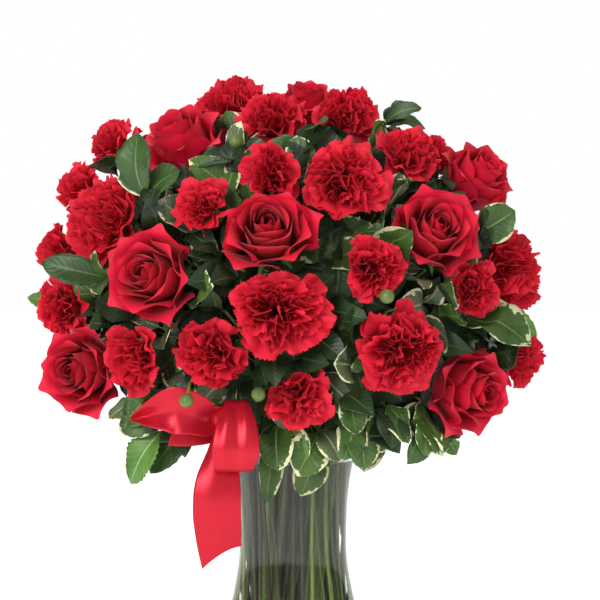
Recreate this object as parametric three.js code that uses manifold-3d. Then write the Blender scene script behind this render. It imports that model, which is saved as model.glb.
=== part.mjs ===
// Red carnations and roses with variegated greenery, in a clear waisted glass vase with a satin bow.
// Millimetres, +Z up. The origin is the centre of the vase's base, on the surface that it stands on.
// The front of the bouquet faces -Y and +X is to its right.
// Every flower head is a solid of its own. The stems, calyxes, buds and leaves of one sector of the
// bouquet are fused into one handful, and the handfuls stand in plain holes in the water.

import * as THREE from 'three';
import Module from 'manifold-3d';

const wasm = await Module();
wasm.setup();

const V = (x, y, z) => new THREE.Vector3(x, y, z);
const UP = V(0, 0, 1);
const rad = THREE.MathUtils.degToRad;

// Glass vase: heights and outer radii of its foot, belly, waist and rim
const VASE_HEIGHT = 205;
const BASE_RADIUS = 48;
const BELLY_HEIGHT = 30;
const BELLY_RADIUS = 54;
const WAIST_HEIGHT = 132;
const WAIST_RADIUS = 37.6;
const RIM_RADIUS = 47;
const RIM_FLARE = 0.35;
const WALL = 3;
const FLOOR_THICKNESS = 9;
const FOOT_BEVEL = 2;
const FLOOR_CURVE_TOP = 12;
const RIM_ROUND = 0.8;
const VASE_SIDES = 18;
const WALL_LEVELS = [30, 64, 98, 132, 166, 192];

// Water
const WATER_TOP = 192;
const GAP = 0.3;
const FACET_GAP = 0.36;

// Stems: where they stand at the rim, and how they lean through the vase
const RIM_LEVEL = 200;
const STEM_FOOT = FLOOR_THICKNESS + 0.8;
const GATHER = 0.28;
const SPIRAL = 0.00574;
const ROW_RADII = [9.5, 17, 24.5, 32];
const ROW_PLACES = [1, 2, 3, 4];
const STEM_SIDES = 4;
const HOLE_CLEARANCE = 0.5;
const HOLE_RUNOUT = 0.01;
const FORK_RISE = { mini: 45, greenery: 32 };
const BRANCH_SHARE = 0.85;
const STEM_REACH = 0.38;
const BUD_REACH = 0.35;
const TWIG_REACH = 0.3;
const STEM_ROOM = 1;
const RIM_BAND = 7;
const SECTOR_EDGES = [-17, 46, 95, 154, 213, 259, 300];
const SECTOR_NAMES = ['front', 'right', 'back_right', 'back', 'back_left', 'left', 'front_left'];

// Flower heads
const STEM_RADIUS = { rose: 2.4, large: 2.0, mini: 1.7, greenery: 1.9 };
const CALYX_RADIUS = 4.6;
const CALYX_LENGTH = { rose: 9, large: 21, mini: 15 };
const BASE_DEPTH = { rose: 0.82, large: 0.66, mini: 0.66 };
const HEAD_GAP = 0.5;
const LIP = 1.5;
const HEAD_REACH = 0.515;
const PRESS_REACH = 1.08;
const PRESS_KNEE = 0.3;

// Leaves and twigs
const LEAF_THICKNESS = 0.8;
const LEAF_ROOM = 3;
const TWIG_RADIUS = 1.1;
const TWIG_FAN_Z = 245;
const LEAF_ARCH = 0.14;
const LEAF_DROOP = 0.1;
const LEAF_WAVE = 0.2;
const LEAF_WAVE_TURNS = 7;
const BUD_RADIUS = 4.8;

// Ribbon bow
const RIBBON_THICKNESS = 0.9;

const PETAL_RED = 0xc4101c;
const ROSE_RED = 0xa80a18;
const RIBBON_RED = 0xcf1020;
const LEAF_GREEN = 0x3f6a2c;

// Heads that the front shows: name, kind, diameter, centre x y z, and the azimuth and elevation it faces.
// Azimuth 0 faces the front and 90 faces the right.
const FRONT_HEADS = [
  ['carnation_top_left', 'large', 60, -45, 25, 444, -30, 60],
  ['carnation_upper_left', 'mini', 44, -126, 0, 413, -75, 45],
  ['carnation_top', 'mini', 50, -14, -30, 430, -5, 50],
  ['carnation_top_right', 'mini', 52, 37, -28, 434, 10, 45],
  ['carnation_upper_right', 'mini', 42, 79, -45, 407, 30, 35],
  ['carnation_inner_top', 'mini', 42, -13, -92, 395, -5, 25],
  ['carnation_inner_large', 'large', 62, 34, -92, 389, 12, 28],
  ['carnation_inner_left', 'mini', 46, -60, -100, 372, -25, 20],
  ['carnation_far_upper_left', 'mini', 42, -150, 5, 383, -80, 25],
  ['carnation_left_large', 'large', 66, -128, -40, 361, -60, 25],
  ['carnation_far_left', 'mini', 42, -166, 10, 338, -85, 5],
  ['carnation_left', 'mini', 44, -158, -30, 301, -60, -5],
  ['carnation_lower_left', 'mini', 48, -105, -85, 272, -35, -15],
  ['carnation_lower_inner_left', 'mini', 54, -53, -110, 276, -15, -10],
  ['carnation_middle_large', 'large', 72, -7, -128, 301, 5, 0],
  ['carnation_inner_right', 'mini', 48, 51, -122, 333, 15, 5],
  ['carnation_lowest', 'mini', 50, 4, -100, 243, 0, -20],
  ['carnation_lower_right_large', 'large', 64, 71, -112, 278, 20, -8],
  ['carnation_right', 'mini', 42, 122, -70, 316, 45, 0],
  ['carnation_far_right_large', 'large', 60, 151, -20, 327, 65, 5],
  ['carnation_far_lower_right', 'mini', 44, 160, -15, 261, 75, -10],
  ['rose_upper_left', 'rose', 62, -75, -35, 413, -50, 55],
  ['rose_left', 'rose', 68, -94, -95, 326, -25, 10],
  ['rose_middle', 'rose', 70, -15, -118, 356, 0, 25],
  ['rose_right', 'rose', 66, 95, -88, 355, 15, 25],
  ['rose_upper_right', 'rose', 58, 127, -25, 389, 60, 45],
  ['rose_lower_left', 'rose', 64, -144, -60, 260, -45, -5],
  ['rose_lower_right', 'rose', 66, 121, -60, 246, 45, -5],
  ['rose_top', 'rose', 55, 5, 30, 444, 0, 75],
];

// Heads of the hidden back, in three rows on the bouquet's dome: elevation, azimuth, kind, diameter
const DOME_CENTRE_Z = 305;
const DOME_RADIUS_X = 155;
const DOME_RADIUS_Y = 130;
const DOME_RISE = 130;
const DOME_FALL = 85;
const BACK_HEADS = [
  [48, 105, 'mini', 48], [48, 150, 'rose', 62], [48, 200, 'large', 66], [48, 245, 'rose', 58],
  [12, 112, 'rose', 62], [12, 140, 'large', 66], [12, 168, 'mini', 50], [12, 196, 'rose', 64],
  [12, 224, 'large', 66], [12, 246, 'mini', 46],
  [-22, 118, 'large', 62], [-22, 150, 'rose', 62], [-22, 182, 'large', 66], [-22, 214, 'mini', 50],
  [-22, 243, 'rose', 60],
];

// Leafy twigs: tip x y z, then leaves as [azimuth, elevation, length, width]
const FRONT_TWIGS = [
  [-98, -44, 380, [[-75, 62, 44, 26], [-100, 15, 36, 20], [-20, 20, 30, 18]]],
  [-122, -58, 316, [[-80, 36, 48, 22], [-55, -25, 32, 16], [-20, 40, 28, 15]]],
  [-138, 10, 293, [[-96, 12, 52, 15], [-75, -35, 36, 18]]],
  [-120, -58, 290, [[-35, -30, 34, 20], [-75, -20, 34, 18]]],
  [-86, -64, 384, [[60, -38, 40, 26], [-15, -20, 34, 20]]],
  [-84, -66, 223, [[-84, 22, 32, 21], [-62, -46, 50, 26], [-30, -58, 42, 27], [-75, -12, 40, 24]]],
  [-32, -60, 402, [[-30, 45, 34, 18], [20, 10, 34, 17], [-60, 5, 32, 18]]],
  [-46, -86, 336, [[-30, 10, 38, 20], [30, -40, 40, 22], [-75, 30, 32, 17]]],
  [-80, -86, 286, [[-10, -25, 34, 20], [50, 15, 36, 20], [-60, 20, 28, 16]]],
  [-50, -88, 306, [[-25, 5, 36, 22], [40, 20, 36, 22]]],
  [-8, -60, 221, [[-28, -66, 52, 18], [-50, -20, 36, 19]]],
  [18, -60, 219, [[-30, -44, 38, 28], [-6, -76, 46, 23], [30, -30, 32, 20]]],
  [40, -70, 230, [[22, -62, 42, 23], [-12, -48, 36, 23], [62, -15, 34, 20]]],
  [60, -76, 382, [[30, 30, 34, 17], [5, -45, 36, 20]]],
  [30, -92, 341, [[-6, -14, 34, 24], [-25, -60, 40, 26]]],
  [34, -84, 246, [[30, 5, 36, 22], [0, -40, 34, 20]]],
  [36, -90, 292, [[10, -15, 36, 24], [35, 40, 34, 18]]],
  [12, -58, 414, [[-10, 20, 34, 18], [60, 25, 30, 16]]],
  [86, -60, 226, [[15, -62, 40, 23], [55, -42, 42, 23], [84, -10, 38, 21], [32, -22, 38, 22]]],
  [112, -52, 292, [[62, -18, 58, 32], [82, 10, 44, 22], [88, -14, 58, 25]]],
  [138, -8, 362, [[84, -42, 38, 25], [60, 15, 30, 18], [110, 30, 34, 18]]],
  [62, -4, 424, [[84, 14, 42, 20], [60, 40, 30, 16], [115, 25, 34, 18]]],
  [96, -78, 314, [[40, -5, 36, 24], [10, -35, 34, 20]]],
  [64, -46, 412, [[30, 30, 32, 18], [75, -20, 34, 18]]],
];

// Leafy twigs of the hidden back, by the same rule as its heads: elevation, azimuth
const BACK_TWIGS = [
  [30, 120], [30, 172], [30, 226], [64, 178],
  [-5, 129], [-4, 167], [-5, 236],
  [-40, 106], [-40, 137], [-40, 166], [-40, 200], [-40, 230], [-40, 252],
];
const BACK_LEAF_LENGTH = 40;
const BACK_LEAF_WIDTH = 22;
const BACK_TWIG_DEPTH = 0.82;

// Round green buds: x y z
const BUDS = [
  [-69, -121, 248], [-26, -112, 252], [62, -136, 308], [-35, -66, 417], [-20, 96, 372], [118, 70, 300],
  [-92, 92, 300],
];

// The bow takes this much room beside the leaves: x y z and radius
const BOW_ROOM = [
  [-37, -106, 222, 26],
  [-68, -96, 238, 23],
  [-92, -94, 233, 19],
  [-49, -98, 175, 21],
];

// The vase's outer radius at a height: a smooth curve through foot, belly, waist and rim.
function outerRadius(z) {
  const keys = [
    [0, BASE_RADIUS, 0.35],
    [BELLY_HEIGHT, BELLY_RADIUS, 0],
    [WAIST_HEIGHT, WAIST_RADIUS, 0],
    [VASE_HEIGHT, RIM_RADIUS, RIM_FLARE],
  ];
  const i = z < BELLY_HEIGHT ? 0 : z < WAIST_HEIGHT ? 1 : 2;
  const [z0, r0, m0] = keys[i];
  const [z1, r1, m1] = keys[i + 1];
  const h = z1 - z0;
  const t = (z - z0) / h;
  const rise = t * t * (3 - 2 * t);
  return r0 * (1 - rise) + r1 * rise + m0 * h * t * (1 - t) * (1 - t) - m1 * h * t * t * (1 - t);
}

const innerRadius = z => outerRadius(z) - WALL;

// A repeatable number between 0 and 1 for a pair of counters.
function chance(i, j) {
  const s = Math.sin(i * 12.9898 + j * 78.233) * 43758.5453;
  return s - Math.floor(s);
}

// Unit vector for an azimuth from the front and an elevation, both in degrees.
function direction(azimuth, elevation) {
  const a = rad(azimuth);
  const e = rad(elevation);
  return V(Math.sin(a) * Math.cos(e), -Math.cos(a) * Math.cos(e), Math.sin(e));
}

// Two unit vectors square to a direction.
function crossPair(axis) {
  const helper = Math.abs(axis.z) < 0.9 ? UP : V(1, 0, 0);
  const side = new THREE.Vector3().crossVectors(axis, helper).normalize();
  return [side, new THREE.Vector3().crossVectors(side, axis).normalize()];
}

// A geometry from points and faces, turned so that its faces point outwards.
function geometryOf(points, faces) {
  let volume = 0;
  for (const [a, b, c] of faces) {
    volume += points[a].dot(new THREE.Vector3().crossVectors(points[b], points[c]));
  }
  const index = volume > 0 ? faces.flat() : faces.map(([a, b, c]) => [a, c, b]).flat();
  const geometry = new THREE.BufferGeometry();
  geometry.setAttribute('position', new THREE.Float32BufferAttribute(points.flatMap(p => p.toArray()), 3));
  geometry.setIndex(index);
  return geometry;
}

// A closed body through rings of points, each with the same count, closed by a fan at either end.
function ringBody(rings, firstCentre, lastCentre) {
  const n = rings[0].length;
  const points = rings.flat();
  const faces = [];
  for (let k = 0; k + 1 < rings.length; k++) {
    for (let j = 0; j < n; j++) {
      const a = k * n + j;
      const b = k * n + (j + 1) % n;
      faces.push([a, b, b + n], [a, b + n, a + n]);
    }
  }
  const last = (rings.length - 1) * n;
  if (firstCentre) {
    points.push(firstCentre, lastCentre);
    for (let j = 0; j < n; j++) {
      faces.push([points.length - 2, (j + 1) % n, j]);
      faces.push([points.length - 1, last + j, last + (j + 1) % n]);
    }
  } else {
    for (let j = 1; j + 1 < n; j++) {
      faces.push([0, j + 1, j], [last, last + j, last + j + 1]);
    }
  }
  return geometryOf(points, faces);
}

// A round bar along a line of points, with a radius at each.
function bar(line, radii, sides) {
  const rings = [];
  let side = null;
  for (let i = 0; i < line.length; i++) {
    const before = line[Math.max(i - 1, 0)];
    const after = line[Math.min(i + 1, line.length - 1)];
    const along = after.clone().sub(before).normalize();
    side = side ? side.clone().addScaledVector(along, -side.dot(along)).normalize() : crossPair(along)[0];
    const other = new THREE.Vector3().crossVectors(along, side);
    const ring = [];
    for (let j = 0; j < sides; j++) {
      const a = 2 * Math.PI * j / sides;
      ring.push(line[i].clone().addScaledVector(side, radii[i] * Math.cos(a))
        .addScaledVector(other, radii[i] * Math.sin(a)));
    }
    rings.push(ring);
  }
  return ringBody(rings);
}

// Points on a smooth curve that leaves one point along a direction and arrives at another along a second.
function curvePoints(start, startWay, end, endWay, reach, count) {
  const span = start.distanceTo(end) * reach;
  const curve = new THREE.CubicBezierCurve3(
    start, start.clone().addScaledVector(startWay, span), end.clone().addScaledVector(endWay, -span), end);
  return curve.getPoints(count);
}

// Solids for joining and cutting
function solidOf(geometry) {
  return new wasm.Manifold(new wasm.Mesh({
    numProp: 3,
    vertProperties: Float32Array.from(geometry.attributes.position.array),
    triVerts: Uint32Array.from(geometry.index.array),
  }));
}

// The largest body of a solid: a scrap is dropped and a sealed hollow is filled.
function largestBody(solid) {
  return solid.decompose().reduce((a, b) => (b.volume() > a.volume() ? b : a));
}

function geometryOfSolid(solid) {
  const mesh = solid.getMesh();
  const geometry = new THREE.BufferGeometry();
  const count = mesh.vertProperties.length / mesh.numProp;
  const position = new Float32Array(count * 3);
  for (let i = 0; i < count; i++) {
    for (let k = 0; k < 3; k++) position[i * 3 + k] = mesh.vertProperties[i * mesh.numProp + k];
  }
  geometry.setAttribute('position', new THREE.BufferAttribute(position, 3));
  geometry.setIndex(new THREE.BufferAttribute(Uint32Array.from(mesh.triVerts), 1));
  return geometry;
}

// The flower heads with their places
function domePlace(elevation, azimuth) {
  const e = rad(elevation);
  const a = rad(azimuth);
  return V(
    DOME_RADIUS_X * Math.cos(e) * Math.sin(a),
    -DOME_RADIUS_Y * Math.cos(e) * Math.cos(a),
    DOME_CENTRE_Z + (elevation > 0 ? DOME_RISE : DOME_FALL) * Math.sin(e));
}

const heads = FRONT_HEADS.map(([name, kind, width, x, y, z, azimuth, elevation]) => (
  { name, kind, width, centre: V(x, y, z), way: direction(azimuth, elevation) }));
BACK_HEADS.forEach(([elevation, azimuth, kind, width], i) => {
  const name = `${kind === 'rose' ? 'rose' : 'carnation'}_back_${i + 1}`;
  const centre = domePlace(elevation, azimuth);
  heads.push({ name, kind, width, centre, way: direction(azimuth, elevation) });
});
heads.forEach((head, i) => {
  head.number = i;
  head.base = head.centre.clone().addScaledVector(head.way, -BASE_DEPTH[head.kind] * head.width / 2);
});

// Profiles of a head as rings, each [radius, height, ruffle, notch, turn] in parts of the head's radius,
// from the flat base to the last lip. A lip is two rings a lip's thickness apart.
const MINI_RINGS = [
  [0, -0.66, 0, 0, 0],
  [1.0, -0.14, 0.12, 0.1, 0],
  [0.96, -0.14, 0.12, 0.1, 0],
  [0.56, 0.04, 0.02, 0, 0],
  [0.62, 0.34, 0.12, 0.16, 1],
];
const LARGE_RINGS = [
  [0, -0.66, 0, 0, 0],
  [1.0, -0.14, 0.11, 0.1, 0],
  [0.96, -0.14, 0.11, 0.1, 0],
  [0.68, 0.03, 0.03, 0, 0],
  [0.8, 0.17, 0.09, 0.12, 1],
  [0.75, 0.17, 0.09, 0.12, 1],
  [0.42, 0.26, 0.03, 0, 1],
  [0.46, 0.44, 0.08, 0.12, 0],
];
const ROSE_RINGS = [
  [0, -0.82, 0, 0, 0],
  [1.0, -0.1, 0, 0.2, 0],
  [0.96, -0.1, 0, 0.2, 0],
  [0.66, -0.02, 0, 0, 0],
  [0.82, 0.3, 0, 0.16, 1],
  [0.76, 0.3, 0, 0.16, 1],
  [0.5, 0.22, 0, 0, 1],
  [0.5, 0.6, 0, 0.08, 0],
  [0.38, 0.64, 0, 0.08, 0],
];
const HEAD_FORMS = {
  mini: { rings: MINI_RINGS, sides: 10, middle: 0.12 },
  large: { rings: LARGE_RINGS, sides: 12, middle: 0.36 },
  rose: { rings: ROSE_RINGS, sides: 10, middle: 0.42 },
};
const ROSE_PETALS = 5;
const BASE_RADIUS_OF_HEAD = 5;

// One ring of a head. Carnation lips zigzag; rose lips have five pointed petals.
function headRing(head, form, row, upper) {
  const [radius, height, ruffle, notch, turn] = form.rings[row];
  const size = head.width / 2;
  const [side, other] = crossPair(head.way);
  const ring = [];
  for (let j = 0; j < form.sides; j++) {
    const draw = chance(head.number + turn * 50, j);
    let r = radius === 0 ? BASE_RADIUS_OF_HEAD : radius * size;
    let h = height * size + (upper ? LIP : 0);
    if (head.kind === 'rose') {
      const step = form.sides / ROSE_PETALS;
      const fromTip = (j + turn) % step;
      r -= fromTip === 0 ? 0 : notch * size * (0.7 + 0.3 * draw);
      h -= fromTip === 0 ? notch * size * 0.5 : 0;
    } else {
      r -= notch * size * draw;
      h += (j % 2 === turn ? 1 : -1) * ruffle * size * (0.6 + 0.4 * draw);
    }
    const a = 2 * Math.PI * (j + (turn ? 0.5 : 0)) / form.sides + head.number;
    ring.push(head.centre.clone().addScaledVector(head.way, h)
      .addScaledVector(side, r * Math.cos(a)).addScaledVector(other, r * Math.sin(a)));
  }
  return ring;
}

// Neighbouring heads press each other flat where they meet, half way between them.
function pressApart(points, head) {
  for (let pass = 0; pass < 3; pass++) {
    for (const next of heads) {
      const reachSum = (head.width + next.width) / 2;
      const apart = head.centre.distanceTo(next.centre);
      if (next === head || apart > reachSum * PRESS_REACH) continue;
      const toward = next.centre.clone().sub(head.centre).divideScalar(apart);
      const limit = apart * head.width / (2 * reachSum) - HEAD_GAP / 2;
      const reach = Math.max(...points.map(p => p.clone().sub(head.centre).dot(toward)));
      if (reach <= limit) continue;
      const knee = PRESS_KNEE * limit;
      for (const p of points) {
        const s = p.clone().sub(head.centre).dot(toward);
        if (s > knee) p.addScaledVector(toward, (s - knee) * ((limit - knee) / (reach - knee) - 1));
      }
    }
  }
}

function headGeometry(head) {
  const form = HEAD_FORMS[head.kind];
  const rings = form.rings.map((row, i) => headRing(head, form, i, i > 0 && row[0] < form.rings[i - 1][0]
    && row[1] === form.rings[i - 1][1]));
  const size = head.width / 2;
  const middle = head.centre.clone().addScaledVector(head.way, form.middle * size);
  const all = rings.flat();
  pressApart(all.concat(middle), head);
  return ringBody(rings, head.base.clone(), middle);
}

// Sectors divide the bouquet like a cake, so that the handfuls never meet above the rim.
const sectors = SECTOR_EDGES.map((from, i) => {
  const to = i + 1 < SECTOR_EDGES.length ? SECTOR_EDGES[i + 1] : SECTOR_EDGES[0] + 360;
  const wayFrom = direction(from + 90, 0);
  const wayTo = direction(to - 90, 0);
  return { name: SECTOR_NAMES[i], from, to, walls: [wayFrom, wayTo], stems: [] };
});

function sectorOf(point) {
  const azimuth = THREE.MathUtils.radToDeg(Math.atan2(point.x, -point.y));
  return sectors.find(s => (azimuth >= s.from && azimuth < s.to) || azimuth + 360 < s.to);
}

// Bends a point clear of the heads, the bow, the glass and the sector's two walls.
function bendClear(point, sector, room, ownHead) {
  const blocks = heads.filter(h => h !== ownHead).map(h => [h.centre, h.width * HEAD_REACH]);
  for (const [x, y, z, r] of BOW_ROOM) blocks.push([V(x, y, z), r]);
  for (let pass = 0; pass < 4; pass++) {
    for (const [centre, radius] of blocks) {
      const away = point.clone().sub(centre);
      const distance = away.length();
      if (distance < radius + room) point.copy(centre).addScaledVector(away, (radius + room) / distance);
    }
    const outward = Math.hypot(point.x, point.y);
    if (point.z < VASE_HEIGHT + room + 1 && outward > RIM_RADIUS - RIM_BAND) {
      if (outward < RIM_RADIUS) point.z = VASE_HEIGHT + room + 1;
      const least = RIM_RADIUS + room + 1;
      if (outward >= RIM_RADIUS && outward < least) {
        point.x *= least / outward;
        point.y *= least / outward;
      }
    }
    for (const wall of sector.walls) {
      const inside = point.dot(wall) - room;
      if (inside < 0) point.addScaledVector(wall, -inside);
    }
  }
  return point;
}

// Every stem, twig and bud has a sector; a spray of small carnations and a leafy stem fork above the rim.
function addTarget(kind, head, at) {
  const sector = sectorOf(at);
  if (kind === 'mini' || kind === 'bud' || kind === 'twig') {
    const family = kind === 'twig' ? 'greenery' : 'mini';
    let stem = sector.stems.find(s => s.kind === family);
    if (!stem) {
      stem = { kind: family, ends: [] };
      sector.stems.push(stem);
    }
    stem.ends.push({ kind, head, at });
  } else {
    sector.stems.push({ kind, ends: [{ kind, head, at }] });
  }
}

for (const head of heads) addTarget(head.kind, head, head.base);
for (const [x, y, z] of BUDS) addTarget('bud', null, V(x, y, z));
const twigLeaves = new Map();
for (const [x, y, z, leaves] of FRONT_TWIGS) {
  const tip = V(x, y, z);
  twigLeaves.set(tip, leaves);
  addTarget('twig', null, tip);
}
for (const [elevation, azimuth] of BACK_TWIGS) {
  const tip = domePlace(elevation, azimuth).sub(V(0, 0, DOME_CENTRE_Z)).multiplyScalar(BACK_TWIG_DEPTH);
  tip.z += DOME_CENTRE_Z;
  twigLeaves.set(tip, [
    [azimuth - 50, elevation + 25, BACK_LEAF_LENGTH, BACK_LEAF_WIDTH],
    [azimuth + 45, elevation + 5, BACK_LEAF_LENGTH * 0.9, BACK_LEAF_WIDTH],
    [azimuth, elevation - 45, BACK_LEAF_LENGTH, BACK_LEAF_WIDTH * 1.1],
  ]);
  addTarget('twig', null, tip);
}

// Places at the rim: the higher a stem's flower is on the dome, the nearer the middle the stem stands.
for (const sector of sectors) {
  for (const stem of sector.stems) {
    stem.aim = stem.ends.reduce((sum, e) => sum.add(e.at), V(0, 0, 0)).divideScalar(stem.ends.length);
    stem.lean = Math.atan2(Math.hypot(stem.aim.x, stem.aim.y), stem.aim.z - RIM_LEVEL);
    stem.azimuth = THREE.MathUtils.radToDeg(Math.atan2(stem.aim.x, -stem.aim.y));
    if (stem.azimuth < sector.from) stem.azimuth += 360;
  }
  const order = [...sector.stems].sort((a, b) => a.lean - b.lean);
  for (let row = 0; order.length; row++) {
    const placed = order.splice(0, ROW_PLACES[row]).sort((a, b) => a.azimuth - b.azimuth);
    placed.forEach((stem, k) => {
      const azimuth = sector.from + (sector.to - sector.from) * (k + 0.5) / placed.length;
      stem.place = direction(azimuth, 0).multiplyScalar(ROW_RADII[row]);
    });
  }
  sector.middle = sector.stems.reduce((sum, s) => sum.add(s.place), V(0, 0, 0))
    .divideScalar(sector.stems.length);
}

// Where a stem that stands at a place at the rim is at another height. All lean alike, so none cross.
function inVase(place, z) {
  const lean = level => SPIRAL * (level - WAIST_HEIGHT);
  const rim = lean(RIM_LEVEL);
  const here = lean(z);
  const scale = 1 / (1 + rim * rim);
  const along = scale * (1 + rim * here);
  const across = scale * (here - rim);
  return V(place.x * along - place.y * across, place.y * along + place.x * across, z);
}

// The line of a stem from its foot to the rim. At the foot a handful's stems draw together.
function vaseLine(stem, sector) {
  const foot = inVase(stem.place, STEM_FOOT).lerp(inVase(sector.middle, STEM_FOOT), 1 - GATHER);
  return [foot, inVase(stem.place, RIM_LEVEL)];
}

// A twig's leaves: one thin sheet cut into waved, arched leaves round the twig's tip, alike on both faces.
const WHORL_ROOT = 4;
const LONG_LEAF = 45;
const LEAF_ROWS = { short: [0.58], long: [0.38, 0.74] };
const leafHalf = t => Math.sin(Math.PI * Math.pow(t, 0.9));

function whorlGeometry(centre, axis, leaves, sector, number) {
  const [side, other] = crossPair(axis);
  const spoke = angle => side.clone().multiplyScalar(Math.cos(angle)).addScaledVector(other, Math.sin(angle));
  const blades = leaves.map(([azimuth, elevation, length, width]) => {
    const way = direction(azimuth, elevation);
    return { way, length, width, angle: Math.atan2(way.dot(other), way.dot(side)) };
  }).sort((a, b) => a.angle - b.angle);
  const points = [];
  const add = (p, normal) => {
    points.push(p.clone().addScaledVector(normal, LEAF_THICKNESS / 2));
    points.push(p.clone().addScaledVector(normal, -LEAF_THICKNESS / 2));
    return points.length / 2 - 1;
  };
  const middle = add(centre, axis);
  const valleys = blades.map((blade, k) => {
    const before = blades[(k + blades.length - 1) % blades.length].angle - (k === 0 ? 2 * Math.PI : 0);
    return add(centre.clone().addScaledVector(spoke((before + blade.angle) / 2), WHORL_ROOT), axis);
  });
  const faces = [];
  const outline = [];
  const both = (a, b, c) => faces.push([2 * a, 2 * b, 2 * c], [2 * a + 1, 2 * c + 1, 2 * b + 1]);
  blades.forEach(({ way, length, width, angle }, k) => {
    const outward = centre.clone().sub(V(0, 0, DOME_CENTRE_Z)).normalize();
    const across = new THREE.Vector3().crossVectors(way, outward).normalize();
    if (across.dot(spoke(angle + Math.PI / 2)) < 0) across.negate();
    const face = new THREE.Vector3().crossVectors(across, way);
    const lift = Math.sign(face.dot(outward)) || 1;
    const wave = (number * 5 + k) * 2.4;
    const place = (t, s) => {
      const half = s ? leafHalf(t) * width / 2 : 0;
      const rise = LEAF_ARCH * length * Math.sin(Math.PI * t) - LEAF_DROOP * length * t
        + (s ? LEAF_WAVE * half * (1 + Math.sin(LEAF_WAVE_TURNS * t + wave + s)) : 0);
      const p = centre.clone().addScaledVector(way, t * length)
        .addScaledVector(across, s * half).addScaledVector(face, lift * rise);
      return bendClear(p, sector, LEAF_ROOM);
    };
    const rows = (length > LONG_LEAF ? LEAF_ROWS.long : LEAF_ROWS.short)
      .map(t => [-1, 0, 1].map(s => place(t, s)));
    const tip = place(1, 0);
    const wide = rows[0][2].clone().sub(rows[0][0]);
    const normal = wide.cross(tip.clone().sub(centre)).normalize();
    const ids = rows.map(row => row.map(p => add(p, normal)));
    const end = add(tip, normal);
    const before = valleys[k];
    const after = valleys[(k + 1) % blades.length];
    const [left, mid, right] = ids[0];
    both(middle, before, mid);
    both(before, left, mid);
    both(right, after, mid);
    both(after, middle, mid);
    for (let i = 0; i + 1 < ids.length; i++) {
      const [l, m, r] = ids[i];
      const [l2, m2, r2] = ids[i + 1];
      both(l, l2, m2);
      both(l, m2, m);
      both(m, m2, r2);
      both(m, r2, r);
    }
    const [lastLeft, lastMid, lastRight] = ids[ids.length - 1];
    both(lastLeft, end, lastMid);
    both(end, lastRight, lastMid);
    outline.push(before, ...ids.map(row => row[0]), end, ...ids.map(row => row[2]).reverse());
  });
  outline.forEach((a, i) => {
    const b = outline[(i + 1) % outline.length];
    faces.push([2 * b, 2 * a + 1, 2 * b + 1], [2 * b, 2 * a, 2 * a + 1]);
  });
  return geometryOf(points, faces);
}

// The stem's end below a head, with its calyx: a flat top a gap below the head's flat base.
function toHead(line, end, sector, radius, fromFork) {
  const { head } = end;
  const top = head.base.clone().addScaledVector(head.way, -GAP);
  const length = CALYX_LENGTH[head.kind];
  const neck = top.clone().addScaledVector(head.way, -length);
  const start = line[line.length - 1];
  const before = line[line.length - 2];
  const leaving = start.clone().sub(before).normalize();
  const run = curvePoints(start, leaving, neck, head.way, STEM_REACH, 2).slice(1);
  run.slice(0, -1).forEach(p => bendClear(p, sector, radius + STEM_ROOM, head));
  const points = [...(fromFork ? line.slice(1) : line), ...run, top];
  const radii = points.map(() => radius);
  radii[radii.length - 1] = CALYX_RADIUS;
  return bar(points, radii, STEM_SIDES);
}

function budBranch(fork, leaving, end, sector) {
  const way = end.at.clone().sub(fork).setZ(0).normalize();
  const bottom = end.at.clone().addScaledVector(way, -BUD_RADIUS * 1.2);
  const run = curvePoints(fork, leaving, bottom, way, BUD_REACH, 2);
  run.slice(1, -1).forEach(p => bendClear(p, sector, TWIG_RADIUS + STEM_ROOM));
  const points = [...run, bottom.clone().addScaledVector(way, BUD_RADIUS * 0.7),
    bottom.clone().addScaledVector(way, BUD_RADIUS * 1.5), bottom.clone().addScaledVector(way, BUD_RADIUS * 2)];
  const radii = points.map(() => TWIG_RADIUS);
  radii[radii.length - 3] = BUD_RADIUS;
  radii[radii.length - 2] = BUD_RADIUS * 0.9;
  return [bar(points, radii, STEM_SIDES)];
}

function twigWithLeaves(fork, leaving, end, sector, number) {
  const way = end.at.clone().sub(V(0, 0, TWIG_FAN_Z)).normalize();
  const run = curvePoints(fork, leaving, end.at, way, TWIG_REACH, 2);
  run.slice(1).forEach(p => bendClear(p, sector, TWIG_RADIUS + STEM_ROOM));
  const tip = run[run.length - 1];
  const axis = tip.clone().sub(run[run.length - 2]).normalize();
  const leaves = twigLeaves.get(end.at);
  return [bar(run, run.map(() => TWIG_RADIUS), 3), whorlGeometry(tip, axis, leaves, sector, number)];
}

// One sector's handful of stems with all that grows on them
function handfulSolid(sector) {
  const parts = [];
  let number = 0;
  for (const stem of sector.stems) {
    const radius = STEM_RADIUS[stem.kind];
    const line = vaseLine(stem, sector);
    if (stem.ends.length === 1 && stem.ends[0].head) {
      parts.push(toHead(line, stem.ends[0], sector, radius));
      continue;
    }
    const top = line[line.length - 1];
    const leaving = top.clone().sub(line[0]).normalize();
    const rise = FORK_RISE[stem.kind];
    const fork = top.clone().addScaledVector(leaving, rise);
    parts.push(bar([line[0], fork], [radius, radius], STEM_SIDES));
    for (const end of stem.ends) {
      number += 1;
      const share = (stem.ends.indexOf(end) + 1) / stem.ends.length;
      const below = top.clone().addScaledVector(leaving, rise * share - 1);
      if (end.head) parts.push(toHead([top, below], end, sector, STEM_RADIUS.mini * BRANCH_SHARE, true));
      else if (end.kind === 'bud') parts.push(...budBranch(below, leaving, end, sector));
      else parts.push(...twigWithLeaves(below, leaving, end, sector, number));
    }
  }
  return largestBody(parts.map(solidOf).reduce((a, b) => a.add(b)));
}

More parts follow.
